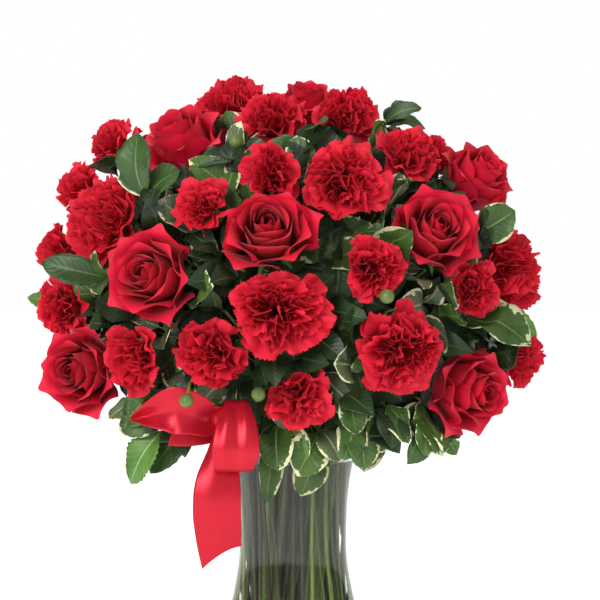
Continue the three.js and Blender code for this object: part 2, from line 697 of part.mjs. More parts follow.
// Vase and water, turned about the vertical axis
function turned(profile) {
  const points = profile.map(([r, z]) => new THREE.Vector2(r, z));
  const lathe = new THREE.LatheGeometry(points, VASE_SIDES).rotateX(Math.PI / 2);
  const position = lathe.attributes.position;
  const spots = [];
  const index = [];
  const seen = new Map();
  for (let i = 0; i < position.count; i++) {
    const p = V().fromBufferAttribute(position, i);
    const key = p.toArray().map(v => Math.round(v * 1000)).join(' ');
    if (!seen.has(key)) {
      seen.set(key, spots.length);
      spots.push(p);
    }
    index.push(seen.get(key));
  }
  const faces = [];
  for (let i = 0; i < lathe.index.count; i += 3) {
    const [a, b, c] = [0, 1, 2].map(k => index[lathe.index.getX(i + k)]);
    if (a !== b && b !== c && c !== a) faces.push([a, b, c]);
  }
  return geometryOf(spots, faces);
}

function vaseGeometry() {
  const outside = WALL_LEVELS.map(z => [outerRadius(z), z]);
  const inside = WALL_LEVELS.map(z => [innerRadius(z), z]).reverse();
  return turned([
    [0, 0],
    [outerRadius(0) - FOOT_BEVEL, 0],
    [outerRadius(FOOT_BEVEL), FOOT_BEVEL],
    [outerRadius(FLOOR_CURVE_TOP), FLOOR_CURVE_TOP],
    ...outside,
    [RIM_RADIUS, VASE_HEIGHT - RIM_ROUND],
    [RIM_RADIUS - WALL / 2, VASE_HEIGHT],
    [RIM_RADIUS - WALL, VASE_HEIGHT - RIM_ROUND],
    ...inside,
    [innerRadius(FLOOR_CURVE_TOP), FLOOR_CURVE_TOP],
    [innerRadius(FLOOR_CURVE_TOP) - FOOT_BEVEL, FLOOR_THICKNESS],
    [0, FLOOR_THICKNESS],
  ]);
}

function waterGeometry() {
  const side = WALL_LEVELS.map(z => [innerRadius(z) - FACET_GAP, z]);
  side[side.length - 1][1] = WATER_TOP;
  const body = solidOf(turned([
    [0, FLOOR_THICKNESS + GAP],
    [innerRadius(FLOOR_CURVE_TOP) - FOOT_BEVEL - FACET_GAP, FLOOR_THICKNESS + GAP],
    [innerRadius(FLOOR_CURVE_TOP) - FACET_GAP, FLOOR_CURVE_TOP + GAP],
    ...side,
    [0, WATER_TOP],
  ]));
  const holes = [];
  for (const sector of sectors) {
    for (const stem of sector.stems) {
      const [foot, rim] = vaseLine(stem, sector);
      const line = [foot.clone().lerp(rim, -HOLE_RUNOUT), rim];
      const radius = STEM_RADIUS[stem.kind] + HOLE_CLEARANCE;
      holes.push(bar(line, line.map(() => radius), STEM_SIDES));
    }
  }
  const cut = holes.map(solidOf).reduce((a, b) => a.add(b));
  return geometryOfSolid(largestBody(body.subtract(cut)));
}

// A ribbon: a flat band along a line, with a half width and a way across it at each point.
function ribbon(stations) {
  const line = stations.map(([x, y, z]) => V(x, y, z));
  const rings = stations.map(([x, y, z, halfWidth, tilt], i) => {
    const along = line[Math.min(i + 1, line.length - 1)].clone().sub(line[Math.max(i - 1, 0)]).normalize();
    const acrossWish = V(Math.cos(rad(tilt)), 0, Math.sin(rad(tilt)));
    const across = acrossWish.addScaledVector(along, -acrossWish.dot(along)).normalize();
    const thick = new THREE.Vector3().crossVectors(along, across).normalize();
    return [[-1, -1], [1, -1], [1, 1], [-1, 1]].map(([s, t]) => V(x, y, z)
      .addScaledVector(across, s * halfWidth).addScaledVector(thick, t * RIBBON_THICKNESS / 2));
  });
  return solidOf(ringBody(rings));
}

// Each station: x y z, half width, and the tilt of the ribbon's width from level
const BOW_KNOT = [-45, -92, 231];
const FRONT_LOOP = [
  [-44, -92, 229, 6, 0], [-41, -92, 240, 8, 0], [-38, -97, 247, 9, 0], [-37, -106, 244, 10, 0],
  [-37, -114, 231, 14, 0], [-37, -118, 214, 15.5, 0], [-38, -115, 201, 13, 0], [-40, -106, 199, 12, 0],
  [-42, -98, 212, 8, 0], [-44, -93, 226, 6, 0],
];
const LEFT_LOOP = [
  [-44, -93, 232, 7, 90], [-58, -103, 234, 10, 90], [-76, -109, 238, 15, 90], [-94, -104, 235, 9, 90],
  [-106, -96, 232, 3, 90], [-98, -89, 229, 7, 90], [-80, -84, 227, 12, 90], [-58, -86, 227, 9, 90],
  [-46, -91, 230, 6, 90],
];
const TAIL = [
  [-45, -93, 228, 6, 0], [-47, -98, 208, 9, 0], [-50, -103, 190, 14, 0], [-50, -104, 172, 15.5, 0],
  [-49, -102, 156, 15, -8], [-48, -99, 139, 14, -24],
];
const KNOT_RADII = [5, 8.5, 9.5, 8.5, 5];
const KNOT_STEP = 3.6;

function bowGeometry() {
  const line = KNOT_RADII.map((r, i) => V(BOW_KNOT[0], BOW_KNOT[1], BOW_KNOT[2] + (i - 2) * KNOT_STEP));
  const knot = solidOf(bar(line, KNOT_RADII, 8));
  const bands = [FRONT_LOOP, LEFT_LOOP, TAIL].map(ribbon);
  return geometryOfSolid(largestBody(bands.reduce((a, b) => a.add(b), knot)));
}

// The bow's wire pick: from behind the knot, over the rim and down inside the wall
const PICK_RADIUS = 1;
const PICK_AZIMUTH = -27;

function pickGeometry() {
  const way = direction(PICK_AZIMUTH, 0);
  const at = (r, z) => way.clone().multiplyScalar(r).setZ(z);
  const line = [
    V(BOW_KNOT[0] + 3.2, BOW_KNOT[1] + 8.8, BOW_KNOT[2]), at(70, 222), at(52, 209.5), at(45.5, 206.8),
    at(40.5, 204), at(38.4, 193.4)];
  return bar(line, line.map(() => PICK_RADIUS), 6);
}

// Scene graph
const bouquet = new THREE.Group();
bouquet.name = 'carnation_bouquet_in_vase';

function addPart(name, geometry, colour, roughness, extra = {}) {
  const material = new THREE.MeshStandardMaterial({ color: colour, roughness, metalness: 0, ...extra });
  const mesh = new THREE.Mesh(geometry, material);
  mesh.name = name;
  bouquet.add(mesh);
}

addPart('vase', vaseGeometry(), 0xe8f0f0, 0.05, { transparent: true, opacity: 0.35 });
addPart('water', waterGeometry(), 0xdfe8e2, 0.05, { transparent: true, opacity: 0.3 });
for (const sector of sectors) {
  addPart(`stems_and_leaves_${sector.name}`, geometryOfSolid(handfulSolid(sector)), LEAF_GREEN, 0.5);
}
for (const head of heads) {
  addPart(head.name, headGeometry(head), head.kind === 'rose' ? ROSE_RED : PETAL_RED, 0.6);
}
addPart('satin_bow', bowGeometry(), RIBBON_RED, 0.3);
addPart('bow_pick', pickGeometry(), 0x4d6b3a, 0.5);

export default bouquet;
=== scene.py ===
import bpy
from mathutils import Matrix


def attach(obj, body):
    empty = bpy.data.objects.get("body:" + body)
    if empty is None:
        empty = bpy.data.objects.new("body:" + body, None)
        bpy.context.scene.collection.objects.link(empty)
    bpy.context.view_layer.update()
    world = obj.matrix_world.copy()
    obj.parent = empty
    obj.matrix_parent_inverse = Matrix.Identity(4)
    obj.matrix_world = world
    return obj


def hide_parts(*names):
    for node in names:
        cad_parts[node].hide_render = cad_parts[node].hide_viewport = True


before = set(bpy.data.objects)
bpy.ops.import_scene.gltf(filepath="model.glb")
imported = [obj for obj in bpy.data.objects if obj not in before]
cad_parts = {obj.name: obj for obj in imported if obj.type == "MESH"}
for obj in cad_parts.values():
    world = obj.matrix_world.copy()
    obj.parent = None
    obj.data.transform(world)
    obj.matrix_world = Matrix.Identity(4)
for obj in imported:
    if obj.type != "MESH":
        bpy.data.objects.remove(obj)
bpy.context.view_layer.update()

import math

import bpy
import numpy as np
from mathutils import Vector

# Red carnations and roses with variegated greenery, in a clear waisted glass vase with a satin bow.
# The shapes are worked out in millimetres in the frame of the solids and turned into metres when a
# mesh is made. The front of the bouquet faces -Y, and +X is to its right.

MM = 0.001
X, Y, UP = np.eye(3)

# A tube closes to this share of its radius at its ends, and its paint repeats after this length
TUBE_END = 0.02
PAINT_LENGTH = 100

# Glass vase, as in the solids
VASE_HEIGHT = 205
WALL = 3
FLOOR_THICKNESS = 9
RIM_RADIUS = 47
VASE_KEYS = [(0, 48, 0.35), (30, 54, 0), (132, 37.6, 0), (205, 47, 0.35)]
WATER_TOP = 192

# Stems, as in the solids: where they stand at the rim and how they lean through the vase
RIM_LEVEL = 200
STEM_FOOT = 9.8
WAIST_HEIGHT = 132
GATHER = 0.28
SPIRAL = 0.00574
ROW_RADII = [9.5, 17, 24.5, 32]
ROW_PLACES = [1, 2, 3, 4]
SECTOR_EDGES = [-17, 46, 95, 154, 213, 259, 300]
SECTOR_NAMES = ["front", "right", "back_right", "back", "back_left", "left", "front_left"]
STEM_RADIUS = {"rose": 2.4, "large": 2.0, "mini": 1.7, "greenery": 1.9}
FORK_RISE = {"mini": 45, "greenery": 32}
BRANCH_RADIUS = STEM_RADIUS["mini"] * 0.85
COLUMN_POINTS = 14
NODE_SWELL = 0.22
NODE_CHANCE = 0.78

# How straight a stem, a bud's branch and a twig set out, in parts of the way that they have to go
STEM_REACH = 0.38
BUD_REACH = 0.35
TWIG_REACH = 0.3

# What the stems end in: the calyx, the bud, and the twig, which fans out from a point on the axis
CALYX_RADIUS = 4.6
CALYX_SIDES = 15
CALYX_LENGTH = {"rose": 9, "large": 21, "mini": 15}
BUD_RADIUS = 4.8
BUD_SIDES = 20
TWIG_RADIUS = 1.1
TWIG_FAN_Z = 245

# Heads: how deep the petals' base lies and how far leaves keep off, in parts of the radius and of the
# width. Two heads nearer than their radii times the reach press each other flat beyond the knee.
BASE_DEPTH = {"rose": 0.82, "large": 0.66, "mini": 0.66}
HEAD_REACH = 0.515
HEAD_GAP = 0.5
PRESS_REACH = 1.08
PRESS_KNEE = 0.3
PRESS_ROUNDS = 3

# How stems and leaves pass what is in their way: room round a stem, band of the rim, and the rounds of
# bending and of easing
STEM_ROOM = 0.4
RIM_BAND = 7
BEND_ROUNDS = 4
EASE_ROUNDS = 2

# Heads that the front shows: place in the name, kind, diameter, centre x y z, and the azimuth and
# elevation it faces
FRONT_HEADS = [
    ("top_left", "large", 62, -42, 22, 439, -25, 58),
    ("upper_left", "mini", 46, -126, 0, 413, -60, 42),
    ("top", "mini", 54, -14, -31, 429, -5, 46),
    ("top_right", "mini", 56, 36, -28, 432, 10, 42),
    ("upper_right", "mini", 50, 79, -47, 406, 28, 32),
    ("inner_top", "mini", 48, -14, -92, 393, -5, 22),
    ("inner_large", "large", 66, 34, -92, 388, 10, 24),
    ("inner_left", "mini", 46, -60, -100, 372, -25, 20),
    ("far_upper_left", "mini", 47, -150, 5, 383, -62, 25),
    ("left_large", "large", 68, -128, -40, 361, -44, 24),
    ("far_left", "mini", 45, -166, 10, 338, -68, 5),
    ("left", "mini", 50, -157, -32, 300, -40, -5),
    ("lower_left", "mini", 56, -107, -87, 270, -30, -10),
    ("lower_inner_left", "mini", 57, -53, -110, 276, -15, -10),
    ("middle_large", "large", 75, -7, -130, 304, 5, 0),
    ("inner_right", "mini", 50, 51, -122, 333, 15, 5),
    ("lowest", "mini", 50, 4, -100, 243, 0, -20),
    ("lower_right_large", "large", 66, 71, -112, 278, 20, -8),
    ("right", "mini", 46, 122, -72, 314, 28, 0),
    ("far_right_large", "large", 68, 150, -22, 325, 46, 8),
    ("far_lower_right", "mini", 46, 158, -16, 262, 50, -6),
    ("upper_left", "rose", 67, -75, -35, 413, -45, 50),
    ("left", "rose", 68, -94, -95, 326, -25, 10),
    ("middle", "rose", 74, -15, -118, 356, 0, 25),
    ("right", "rose", 66, 95, -88, 355, 15, 25),
    ("upper_right", "rose", 58, 127, -25, 389, 50, 42),
    ("lower_left", "rose", 64, -144, -60, 260, -24, 0),
    ("lower_right", "rose", 66, 121, -60, 246, 45, -5),
    ("top", "rose", 55, 9, 30, 438, 0, 70),
]

# Heads of the hidden back on the bouquet's dome: elevation, azimuth, kind, diameter
DOME_CENTRE_Z = 305
DOME_RADIUS_X = 155
DOME_RADIUS_Y = 130
DOME_RISE = 130
DOME_FALL = 85
BACK_HEADS = [
    (48, 105, "mini", 48), (48, 150, "rose", 62), (48, 200, "large", 66), (48, 245, "rose", 58),
    (12, 112, "rose", 62), (12, 140, "large", 66), (12, 168, "mini", 50), (12, 196, "rose", 64),
    (12, 224, "large", 66), (12, 246, "mini", 46),
    (-22, 118, "large", 62), (-22, 150, "rose", 62), (-22, 182, "large", 66), (-22, 214, "mini", 50),
    (-22, 243, "rose", 60),
]

# Leafy twigs: tip x y z, then leaves as azimuth, elevation, length, width and kind of leaf
FRONT_TWIGS = [
    (-97, -68, 374, [(-40, 74, 46, 29, "plain"), (50, 22, 34, 26, "plain"), (-105, 20, 34, 18, "cream")]),
    (-120, -58, 321, [(-80, 32, 50, 21, "plain"), (-10, -50, 28, 16, "dark"), (-20, 40, 28, 15, "cream")]),
    (-138, 10, 293, [(-96, 12, 52, 15, "toothed"), (-75, -35, 36, 18, "dark")]),
    (-120, -58, 290, [(-35, -30, 34, 20, "dark"), (-75, -20, 34, 18, "dark")]),
    (-86, -64, 384, [(60, -38, 40, 26, "cream"), (-15, -20, 34, 20, "dark")]),
    (-84, -66, 223, [(-88, 2, 36, 18, "cream"), (-85, -54, 47, 27, "toothed"), (10, -10, 28, 18, "dark")]),
    (-36, -60, 402, [(-25, -35, 36, 15, "cream"), (30, -38, 36, 15, "cream"), (-60, -5, 32, 20, "dark")]),
    (-46, -86, 336, [(-30, 10, 38, 20, "dark"), (30, -40, 40, 22, "dark"), (-75, 30, 32, 17, "cream")]),
    (-80, -86, 286, [(-10, -25, 34, 20, "dark"), (50, 15, 36, 20, "dark"), (-60, 20, 28, 16, "cream")]),
    (-50, -88, 306, [(-25, 5, 36, 22, "dark"), (40, 20, 36, 22, "dark")]),
    (-8, -60, 221, [(-28, -66, 52, 18, "cream"), (-50, -20, 36, 19, "dark")]),
    (18, -60, 219, [(-30, -44, 38, 28, "cream"), (-48, -70, 46, 24, "cream"), (30, -30, 32, 20, "pale")]),
    (40, -70, 230, [(26, -58, 38, 25, "cream"), (-12, -48, 34, 23, "cream"), (62, -15, 34, 20, "dark")]),
    (60, -76, 378, [(10, -8, 30, 15, "cream"), (5, -45, 36, 20, "cream")]),
    (30, -92, 341, [(-6, -14, 34, 24, "dark"), (-25, -60, 40, 26, "dark")]),
    (34, -84, 246, [(30, 5, 36, 22, "dark"), (0, -40, 34, 20, "cream")]),
    (36, -90, 292, [(10, -15, 36, 24, "dark"), (35, 40, 34, 18, "dark")]),
    (12, -56, 412, [(-72, -12, 36, 20, "plain"), (70, -12, 34, 18, "cream"), (20, 35, 30, 18, "plain")]),
    (86, -60, 231, [(15, -58, 31, 23, "cream"), (55, -36, 33, 23, "cream"),
                    (84, -10, 38, 21, "cream"), (-25, -62, 37, 26, "cream")]),
    (110, -52, 300, [(62, -18, 58, 32, "cream"), (82, 10, 44, 22, "cream"), (88, -14, 58, 25, "toothed")]),
    (121, -50, 350, [(70, 30, 34, 27, "cream"), (-10, 40, 28, 18, "dark")]),
    (62, -4, 424, [(84, 30, 30, 22, "plain"), (92, 2, 30, 17, "plain"), (125, 30, 24, 16, "dark")]),
    (96, -78, 314, [(40, -5, 36, 24, "cream"), (10, -35, 34, 20, "dark")]),
    (64, -44, 410, [(-72, 4, 40, 25, "plain"), (20, 30, 26, 16, "cream")]),
]

# Leafy twigs of the hidden back: elevation, azimuth
BACK_TWIGS = [
    (30, 120), (30, 172), (30, 226), (64, 178),
    (-5, 129), (-4, 167), (-5, 236),
    (-40, 106), (-40, 137), (-40, 166), (-40, 200), (-40, 230), (-40, 252),
]
BACK_LEAF_LENGTH = 40
BACK_LEAF_WIDTH = 22
BACK_TWIG_DEPTH = 0.82

# Round green buds: x y z, and the azimuth and elevation they point to
BUDS = [
    (-69, -121, 245, -10, -40), (-22.5, -112, 249, -11, 0), (61, -136, 314, 20, -35),
    (-38, -68, 415, -15, 62), (-20, 96, 372, 170, 20), (118, 70, 300, 120, 5), (-92, 92, 300, 225, 5),
]

# The bow takes this much room beside the leaves: x y z and radius
BOW_ROOM = [(-37, -106, 222, 26), (-68, -96, 238, 23), (-92, -94, 233, 19), (-49, -98, 175, 21)]


def chance(i, j):
    """A repeatable number between 0 and 1 for a pair of counters."""
    s = math.sin(i * 12.9898 + j * 78.233) * 43758.5453
    return s - math.floor(s)


def unit(v):
    """A vector, or an array of vectors, brought to length one."""
    return v / np.maximum(np.linalg.norm(v, axis=-1, keepdims=True), 1e-9)


def smooth(low, high, x):
    """Rises smoothly from 0 at low to 1 at high."""
    t = np.clip((x - low) / (high - low), 0, 1)
    return t * t * (3 - 2 * t)


def direction(azimuth, elevation=0):
    """Unit vector for an azimuth from the front and an elevation, both in degrees."""
    a = math.radians(azimuth)
    e = math.radians(elevation)
    return np.array([math.sin(a) * math.cos(e), -math.cos(a) * math.cos(e), math.sin(e)])


def cross_pair(axis):
    """Two unit vectors square to a direction."""
    side = unit(np.cross(axis, UP if abs(axis[2]) < 0.9 else X))
    return side, unit(np.cross(side, axis))


def full_turn(sides):
    """A row of angles once round."""
    return np.linspace(0, 2 * math.pi, sides, endpoint=False)[None, :]


def bezier(p0, p1, p2, p3, t):
    """Points and unit tangents of a cubic curve at the parameters t."""
    t = np.asarray(t, float)[..., None]
    s = 1 - t
    point = s ** 3 * p0 + 3 * s * s * t * p1 + 3 * s * t * t * p2 + t ** 3 * p3
    slope = 3 * (s * s * (p1 - p0) + 2 * s * t * (p2 - p1) + t * t * (p3 - p2))
    return point, unit(slope)


def outer_radius(z):
    """The vase's outer radius at a height: a smooth curve through foot, belly, waist and rim."""
    for (z0, r0, m0), (z1, r1, m1) in zip(VASE_KEYS, VASE_KEYS[1:]):
        if z <= z1:
            h = z1 - z0
            t = (z - z0) / h
            rise = t * t * (3 - 2 * t)
            return r0 * (1 - rise) + r1 * rise + m0 * h * t * (1 - t) ** 2 - m1 * h * t * t * (1 - t)
    return RIM_RADIUS


def net(rows, columns, closed=False):
    """Faces of a net of points in rows and columns, open or closed to a tube."""
    ids = np.arange(rows * columns).reshape(rows, columns)
    if closed:
        ids = np.hstack([ids, ids[:, :1]])
    return np.stack([ids[:-1, :-1], ids[:-1, 1:], ids[1:, 1:], ids[1:, :-1]], -1).reshape(-1, 4)


class Gather:
    """Points and faces of one piece, gathered net by net, each with its paint coordinates, one tone
    and the number of its material."""

    def __init__(self):
        self.points, self.faces, self.paint, self.tone, self.parts = [], [], [], [], []
        self.count = 0

    def add(self, points, faces, across, along, tone, part):
        paint = [np.broadcast_to(values, points.shape[:-1]).ravel() for values in (across, along)]
        self.points.append(points.reshape(-1, 3))
        self.faces.append(faces + self.count)
        self.paint.append(np.stack(paint, 1))
        self.tone.append(np.full((len(paint[0]), 2), tone, float))
        self.parts.append(np.full(len(faces), part))
        self.count += len(paint[0])

    def grid(self, points, across, along, tone=0, part=0, closed=False):
        """A net of points as a single skin."""
        self.add(points, net(*points.shape[:2], closed), across, along, tone, part)

    def blade(self, points, thickness, across, along, tone=0, part=0):
        """A net of points as a thin closed blade with two faces and a rim."""
        normal = np.cross(np.gradient(points, axis=1), np.gradient(points, axis=0))
        half = unit(normal) * thickness / 2
        front = net(*points.shape[:2])
        ids = np.arange(points.size // 3).reshape(points.shape[:2])
        loop = np.concatenate([ids[0, :], ids[1:, -1], ids[-1, -2::-1], ids[-2:0:-1, 0]])
        ahead = np.roll(loop, -1)
        rim = np.stack([ahead, loop, loop + ids.size, ahead + ids.size], -1)
        faces = np.concatenate([front, front[:, ::-1] + ids.size, rim])
        self.add(np.stack([points - half, points + half]), faces, across, along, tone, part)

    def rings(self, middle, axes, radius, height, along, sides, tone=0, part=0):
        """A tubular net round the third of three axes, with a radius and a height at each point."""
        side, other, way = axes
        angles = full_turn(sides)
        points = (middle + height[..., None] * way + (radius * np.cos(angles))[..., None] * side
                  + (radius * np.sin(angles))[..., None] * other)
        self.grid(points, np.abs(np.cos(angles / 2)), along, tone, part, True)

    def tube(self, line, radii, sides, tone, part):
        """A round tube along a line of points, with a radius at each and closed ends."""
        radii = np.broadcast_to(radii, len(line))
        line = np.concatenate([line[:1], line, line[-1:]])
        radii = np.concatenate([radii[:1] * TUBE_END, radii, radii[-1:] * TUBE_END])[:, None]
        along = unit(np.gradient(line, axis=0))
        lengths = np.cumsum(np.linalg.norm(np.diff(line, axis=0, prepend=line[:1]), axis=1))
        side = cross_pair(along[len(along) // 2])[0]
        across = []
        for way in along:
            side = unit(side - way * side.dot(way))
            across.append(side)
        across = np.array(across)
        axes = [a[:, None] for a in (across, np.cross(along, across), along)]
        self.rings(line[:, None], axes, radii, 0 * radii, lengths[:, None] / PAINT_LENGTH, sides, tone, part)

    def piece(self, name, slot, materials, replaces=()):
        """The mesh object of what was gathered, riding on the frame's one body."""
        mesh = bpy.data.meshes.new(name)
        faces = np.concatenate(self.faces)
        mesh.from_pydata((np.concatenate(self.points) * MM).tolist(), [], faces.tolist())
        corner = np.zeros(len(mesh.loops), np.int32)
        mesh.loops.foreach_get("vertex_index", corner)
        for layer, values in (("Paint", self.paint), ("Tone", self.tone)):
            uv = mesh.uv_layers.new(name=layer)
            uv.data.foreach_set("uv", np.concatenate(values)[corner].astype(np.float32).ravel())
        for material in materials:
            mesh.materials.append(material)
        mesh.polygons.foreach_set("material_index", np.concatenate(self.parts).astype(np.int32))
        mesh.polygons.foreach_set("use_smooth", np.ones(len(faces), bool))
        mesh.update()
        obj = bpy.data.objects.new(name, mesh)
        bpy.context.scene.collection.objects.link(obj)
        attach(obj, "root")
        if replaces:
            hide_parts(*replaces)
        return obj


# Flower heads with their places

def dome_place(elevation, azimuth, depth=1):
    """A point on the bouquet's dome, or at a share of its depth inside."""
    radii = np.array([DOME_RADIUS_X, DOME_RADIUS_Y, DOME_RISE if elevation > 0 else DOME_FALL])
    return direction(azimuth, elevation) * radii * depth + UP * DOME_CENTRE_Z


class Head:
    """A flower head: its radius, its centre, the way it faces and two directions across."""

    def __init__(self, place, kind, width, centre, way):
        self.flower = "rose" if kind == "rose" else "carnation"
        self.name = f"{self.flower}_{place}"
        self.kind = kind
        self.size = width / 2
        self.centre = np.array(centre, float)
        self.way = way
        self.base = self.centre - way * BASE_DEPTH[kind] * self.size
        self.side, self.other = cross_pair(way)

    def place(self, outward, turned, height, azimuth):
        """Points from their distances outwards and sideways at an azimuth of the head, and their height."""
        c, s = math.cos(azimuth), math.sin(azimuth)
        return (self.centre + (outward * c - turned * s)[..., None] * self.side
                + (outward * s + turned * c)[..., None] * self.other + height[..., None] * self.way)


HEADS = [Head(place, kind, width, (x, y, z), direction(azimuth, elevation))
         for place, kind, width, x, y, z, azimuth, elevation in FRONT_HEADS]
HEADS += [Head(f"back_{number}", kind, width, dome_place(elevation, azimuth), direction(azimuth, elevation))
          for number, (elevation, azimuth, kind, width) in enumerate(BACK_HEADS, 1)]


def press_apart(petals, head):
    """Neighbouring heads press each other flat where they meet, half way between them."""
    points = np.concatenate([p.reshape(-1, 3) for p in petals])
    for _ in range(PRESS_ROUNDS):
        for other in HEADS:
            reach_sum = head.size + other.size
            apart = np.linalg.norm(head.centre - other.centre)
            if other is head or apart > reach_sum * PRESS_REACH:
                continue
            toward = (other.centre - head.centre) / apart
            limit = apart * head.size / reach_sum - HEAD_GAP / 2
            inside = (points - head.centre) @ toward
            reach = inside.max()
            if reach > limit:
                knee = PRESS_KNEE * limit
                shift = np.maximum(inside - knee, 0) * ((limit - knee) / (reach - knee) - 1)
                points += shift[:, None] * toward
    ends = np.cumsum([p.size // 3 for p in petals])[:-1]
    return [part.reshape(p.shape) for part, p in zip(np.split(points, ends), petals)]


# Each petal turns on from the last by the golden angle, more or less, with seeds of its own. A few long
# waves warp the whole head.
GOLDEN_ANGLE = math.radians(137.508)
PETAL_SCATTER = {"carnation": 0.5, "rose": 0.2}
PETAL_SEEDS = 61
WARP_WAVES = 4
WARP_STRENGTH = {"carnation": 0.08, "rose": 0.022}

# Carnations: a crumpled core in a skirt of broad petals, with the petals, columns and rows of each
CARNATION = {
    "large": {"core": (34, 20, 6), "skirt": (15, 32, 8)},
    "mini": {"core": (22, 16, 5), "skirt": (11, 26, 7)},
}
CORE_OPENNESS = 0.70
SKIRT_OPENNESS = CORE_OPENNESS + 0.04
SKIRT_SPREAD = 0.96 - CORE_OPENNESS
CLAW_WIDTH = 1.1
# What differs in the two layers: each petal's reach and how much it varies, how much its height and its
# tilt vary, its half width with what openness and chance add, its waves and how much they vary, its
# ripple's share and drift, the waves' depth and how much it varies, and how much the petal twists
LAYERS = {
    "core": {"reach": (0.90, 0.14), "height": 0.18, "tilt": 40, "half": (0.28, 0.14, 0),
             "waves": (1.5, 1.3), "ripple": (0.4, 2), "depth": (0.09, 0.07), "twist": 1.5},
    "skirt": {"reach": (0.84, 0.22), "height": 0.14, "tilt": 34, "half": (0.40, 0, 0.14),
              "waves": (1.0, 1.1), "ripple": (0.35, 1), "depth": (0.07, 0.08), "twist": 0.8},
}


def warped(points, head, seed):
    """Points moved by a few long waves, so that no two heads are alike and none is quite round."""
    strength = WARP_STRENGTH[head.flower]
    spot = (points - head.centre) / head.size
    moved = np.zeros_like(points)
    for m in range(WARP_WAVES):
        draws = [chance(seed + 13 * m, k) - 0.5 for k in range(7)]
        wave = unit(np.array(draws[0:3])) * (2.4 + 0.9 * m)
        push = unit(np.array(draws[3:6])) * strength / (1 + 0.35 * m)
        moved += np.sin(spot @ wave + 12.6 * draws[6])[..., None] * push
    return points + moved * smooth(-0.6, 0.2, spot @ head.way)[..., None] * head.size


def raised(mid, tangent, lift):
    """Distance and height of a petal's points that are lifted off its middle curve."""
    return mid[..., 0] - tangent[..., 1] * lift, mid[..., 1] + tangent[..., 0] * lift


def petal_azimuth(head, seed, number):
    return number * GOLDEN_ANGLE + PETAL_SCATTER[head.flower] * (chance(seed, number) - 0.5) + seed


def bloom(head, seed, petals):
    """A head of petals, which are warped together and pressed by the heads beside them."""
    pressed = press_apart([warped(points, head, seed + 0.25) for points, *_ in petals], head)
    gather = Gather()
    for number, (points, (_, across, along)) in enumerate(zip(pressed, petals)):
        gather.grid(points, across, along, chance(seed + 7, number))
    return gather


def carnation_petal(head, layer, columns, rows, openness, azimuth, seed):
    """A fan on a narrow claw, folded in the core and waved in the skirt, with a toothed edge."""
    form = LAYERS[layer]
    draws = [chance(seed, k) for k in range(14)]
    size = head.size
    u = np.linspace(-1, 1, columns + 1)[None, :]
    v = (np.linspace(0, 1, rows + 1) ** 0.8)[:, None]
    steps = np.array([chance(seed + 0.5, k) for k in range(columns + 1)])[None, :]
    valley = (np.arange(columns + 1) % 2)[None, :]
    notch = np.exp(-((u - 1.4 * (draws[1] - 0.5)) / 0.08) ** 2)
    end = 1 - 0.13 * u * u - valley * (0.012 + 0.028 * steps) - 0.10 * notch * (draws[2] > 0.4)
    t = v * end
    reach = size * (0.06 + 0.95 * openness) * (form["reach"][0] + form["reach"][1] * draws[3])
    height = size * (0.52 - 0.64 * openness ** 2.2 + form["height"] * (draws[4] - 0.5))
    tilt = math.radians(4 + 98 * openness ** 1.4 + form["tilt"] * (draws[5] - 0.5))
    start = np.array([1.2 + 2.2 * openness, -BASE_DEPTH[head.kind] * size])
    tip = np.array([reach, height])
    span = np.linalg.norm(tip - start)
    rise = math.radians(4 + 30 * openness)
    first = start + 0.42 * span * np.array([math.sin(rise), math.cos(rise)])
    last = tip - 0.34 * span * np.array([math.sin(tilt), math.cos(tilt)])
    mid, tangent = bezier(start, first, last, tip, t)
    half = size * (form["half"][0] + form["half"][1] * openness + form["half"][2] * draws[11])
    across = u * (CLAW_WIDTH + (half - CLAW_WIDTH) * smooth(0.12, 0.95, t))
    waves = form["waves"][0] + form["waves"][1] * draws[6]
    ripple = form["ripple"][0] * np.sin(9 * u + 6.3 * draws[8] + form["ripple"][1] * t)
    depth = size * (form["depth"][0] + form["depth"][1] * draws[9])
    lift = depth * smooth(0.3, 1.0, t) ** 1.2 * (np.sin(math.pi * waves * u + 6.3 * draws[7]) + ripple)
    r, h = raised(mid, tangent, lift)
    bend = 0.34 * size + np.maximum(r, 0.5)
    inward = bend * (np.cos(across / bend) - 1)
    sideways = bend * np.sin(across / bend)
    twist = form["twist"] * (draws[12] - 0.5)
    outward = r + inward * math.cos(twist) - sideways * math.sin(twist)
    turned = inward * math.sin(twist) + sideways * math.cos(twist)
    return head.place(outward, turned, h, azimuth), (u + 1) / 2, t


def carnation(head, seed):
    """Petals of the core from the middle outwards, then those of the skirt."""
    petals = []
    for layer, (count, columns, rows) in CARNATION[head.kind].items():
        for i in range(count):
            share = (i + 0.5) / count
            openness = CORE_OPENNESS * math.sqrt(share)
            if layer == "skirt":
                openness = SKIRT_OPENNESS + SKIRT_SPREAD * share
            number = len(petals)
            petals.append(carnation_petal(head, layer, columns, rows, openness,
                                          petal_azimuth(head, seed, number), seed * PETAL_SEEDS + number))
    return bloom(head, seed, petals)


# Roses: how far open a petal is, with its tip's distance and height in parts of the flower's radius,
# the angle from upright that the tip points to, and how tightly it turns there
ROSE_PETALS = 26
ROSE_COLUMNS = 22
ROSE_ROWS = 13
ROSE_TIPS = [
    (0.00, 0.05, 0.47, -25, 0.25),
    (0.15, 0.13, 0.53, -12, 0.22),
    (0.30, 0.25, 0.60, 8, 0.18),
    (0.45, 0.38, 0.62, 35, 0.14),
    (0.60, 0.54, 0.55, 62, 0.16),
    (0.75, 0.78, 0.36, 88, 0.22),
    (0.88, 0.99, 0.12, 102, 0.28),
    (1.00, 1.13, -0.10, 112, 0.30),
]


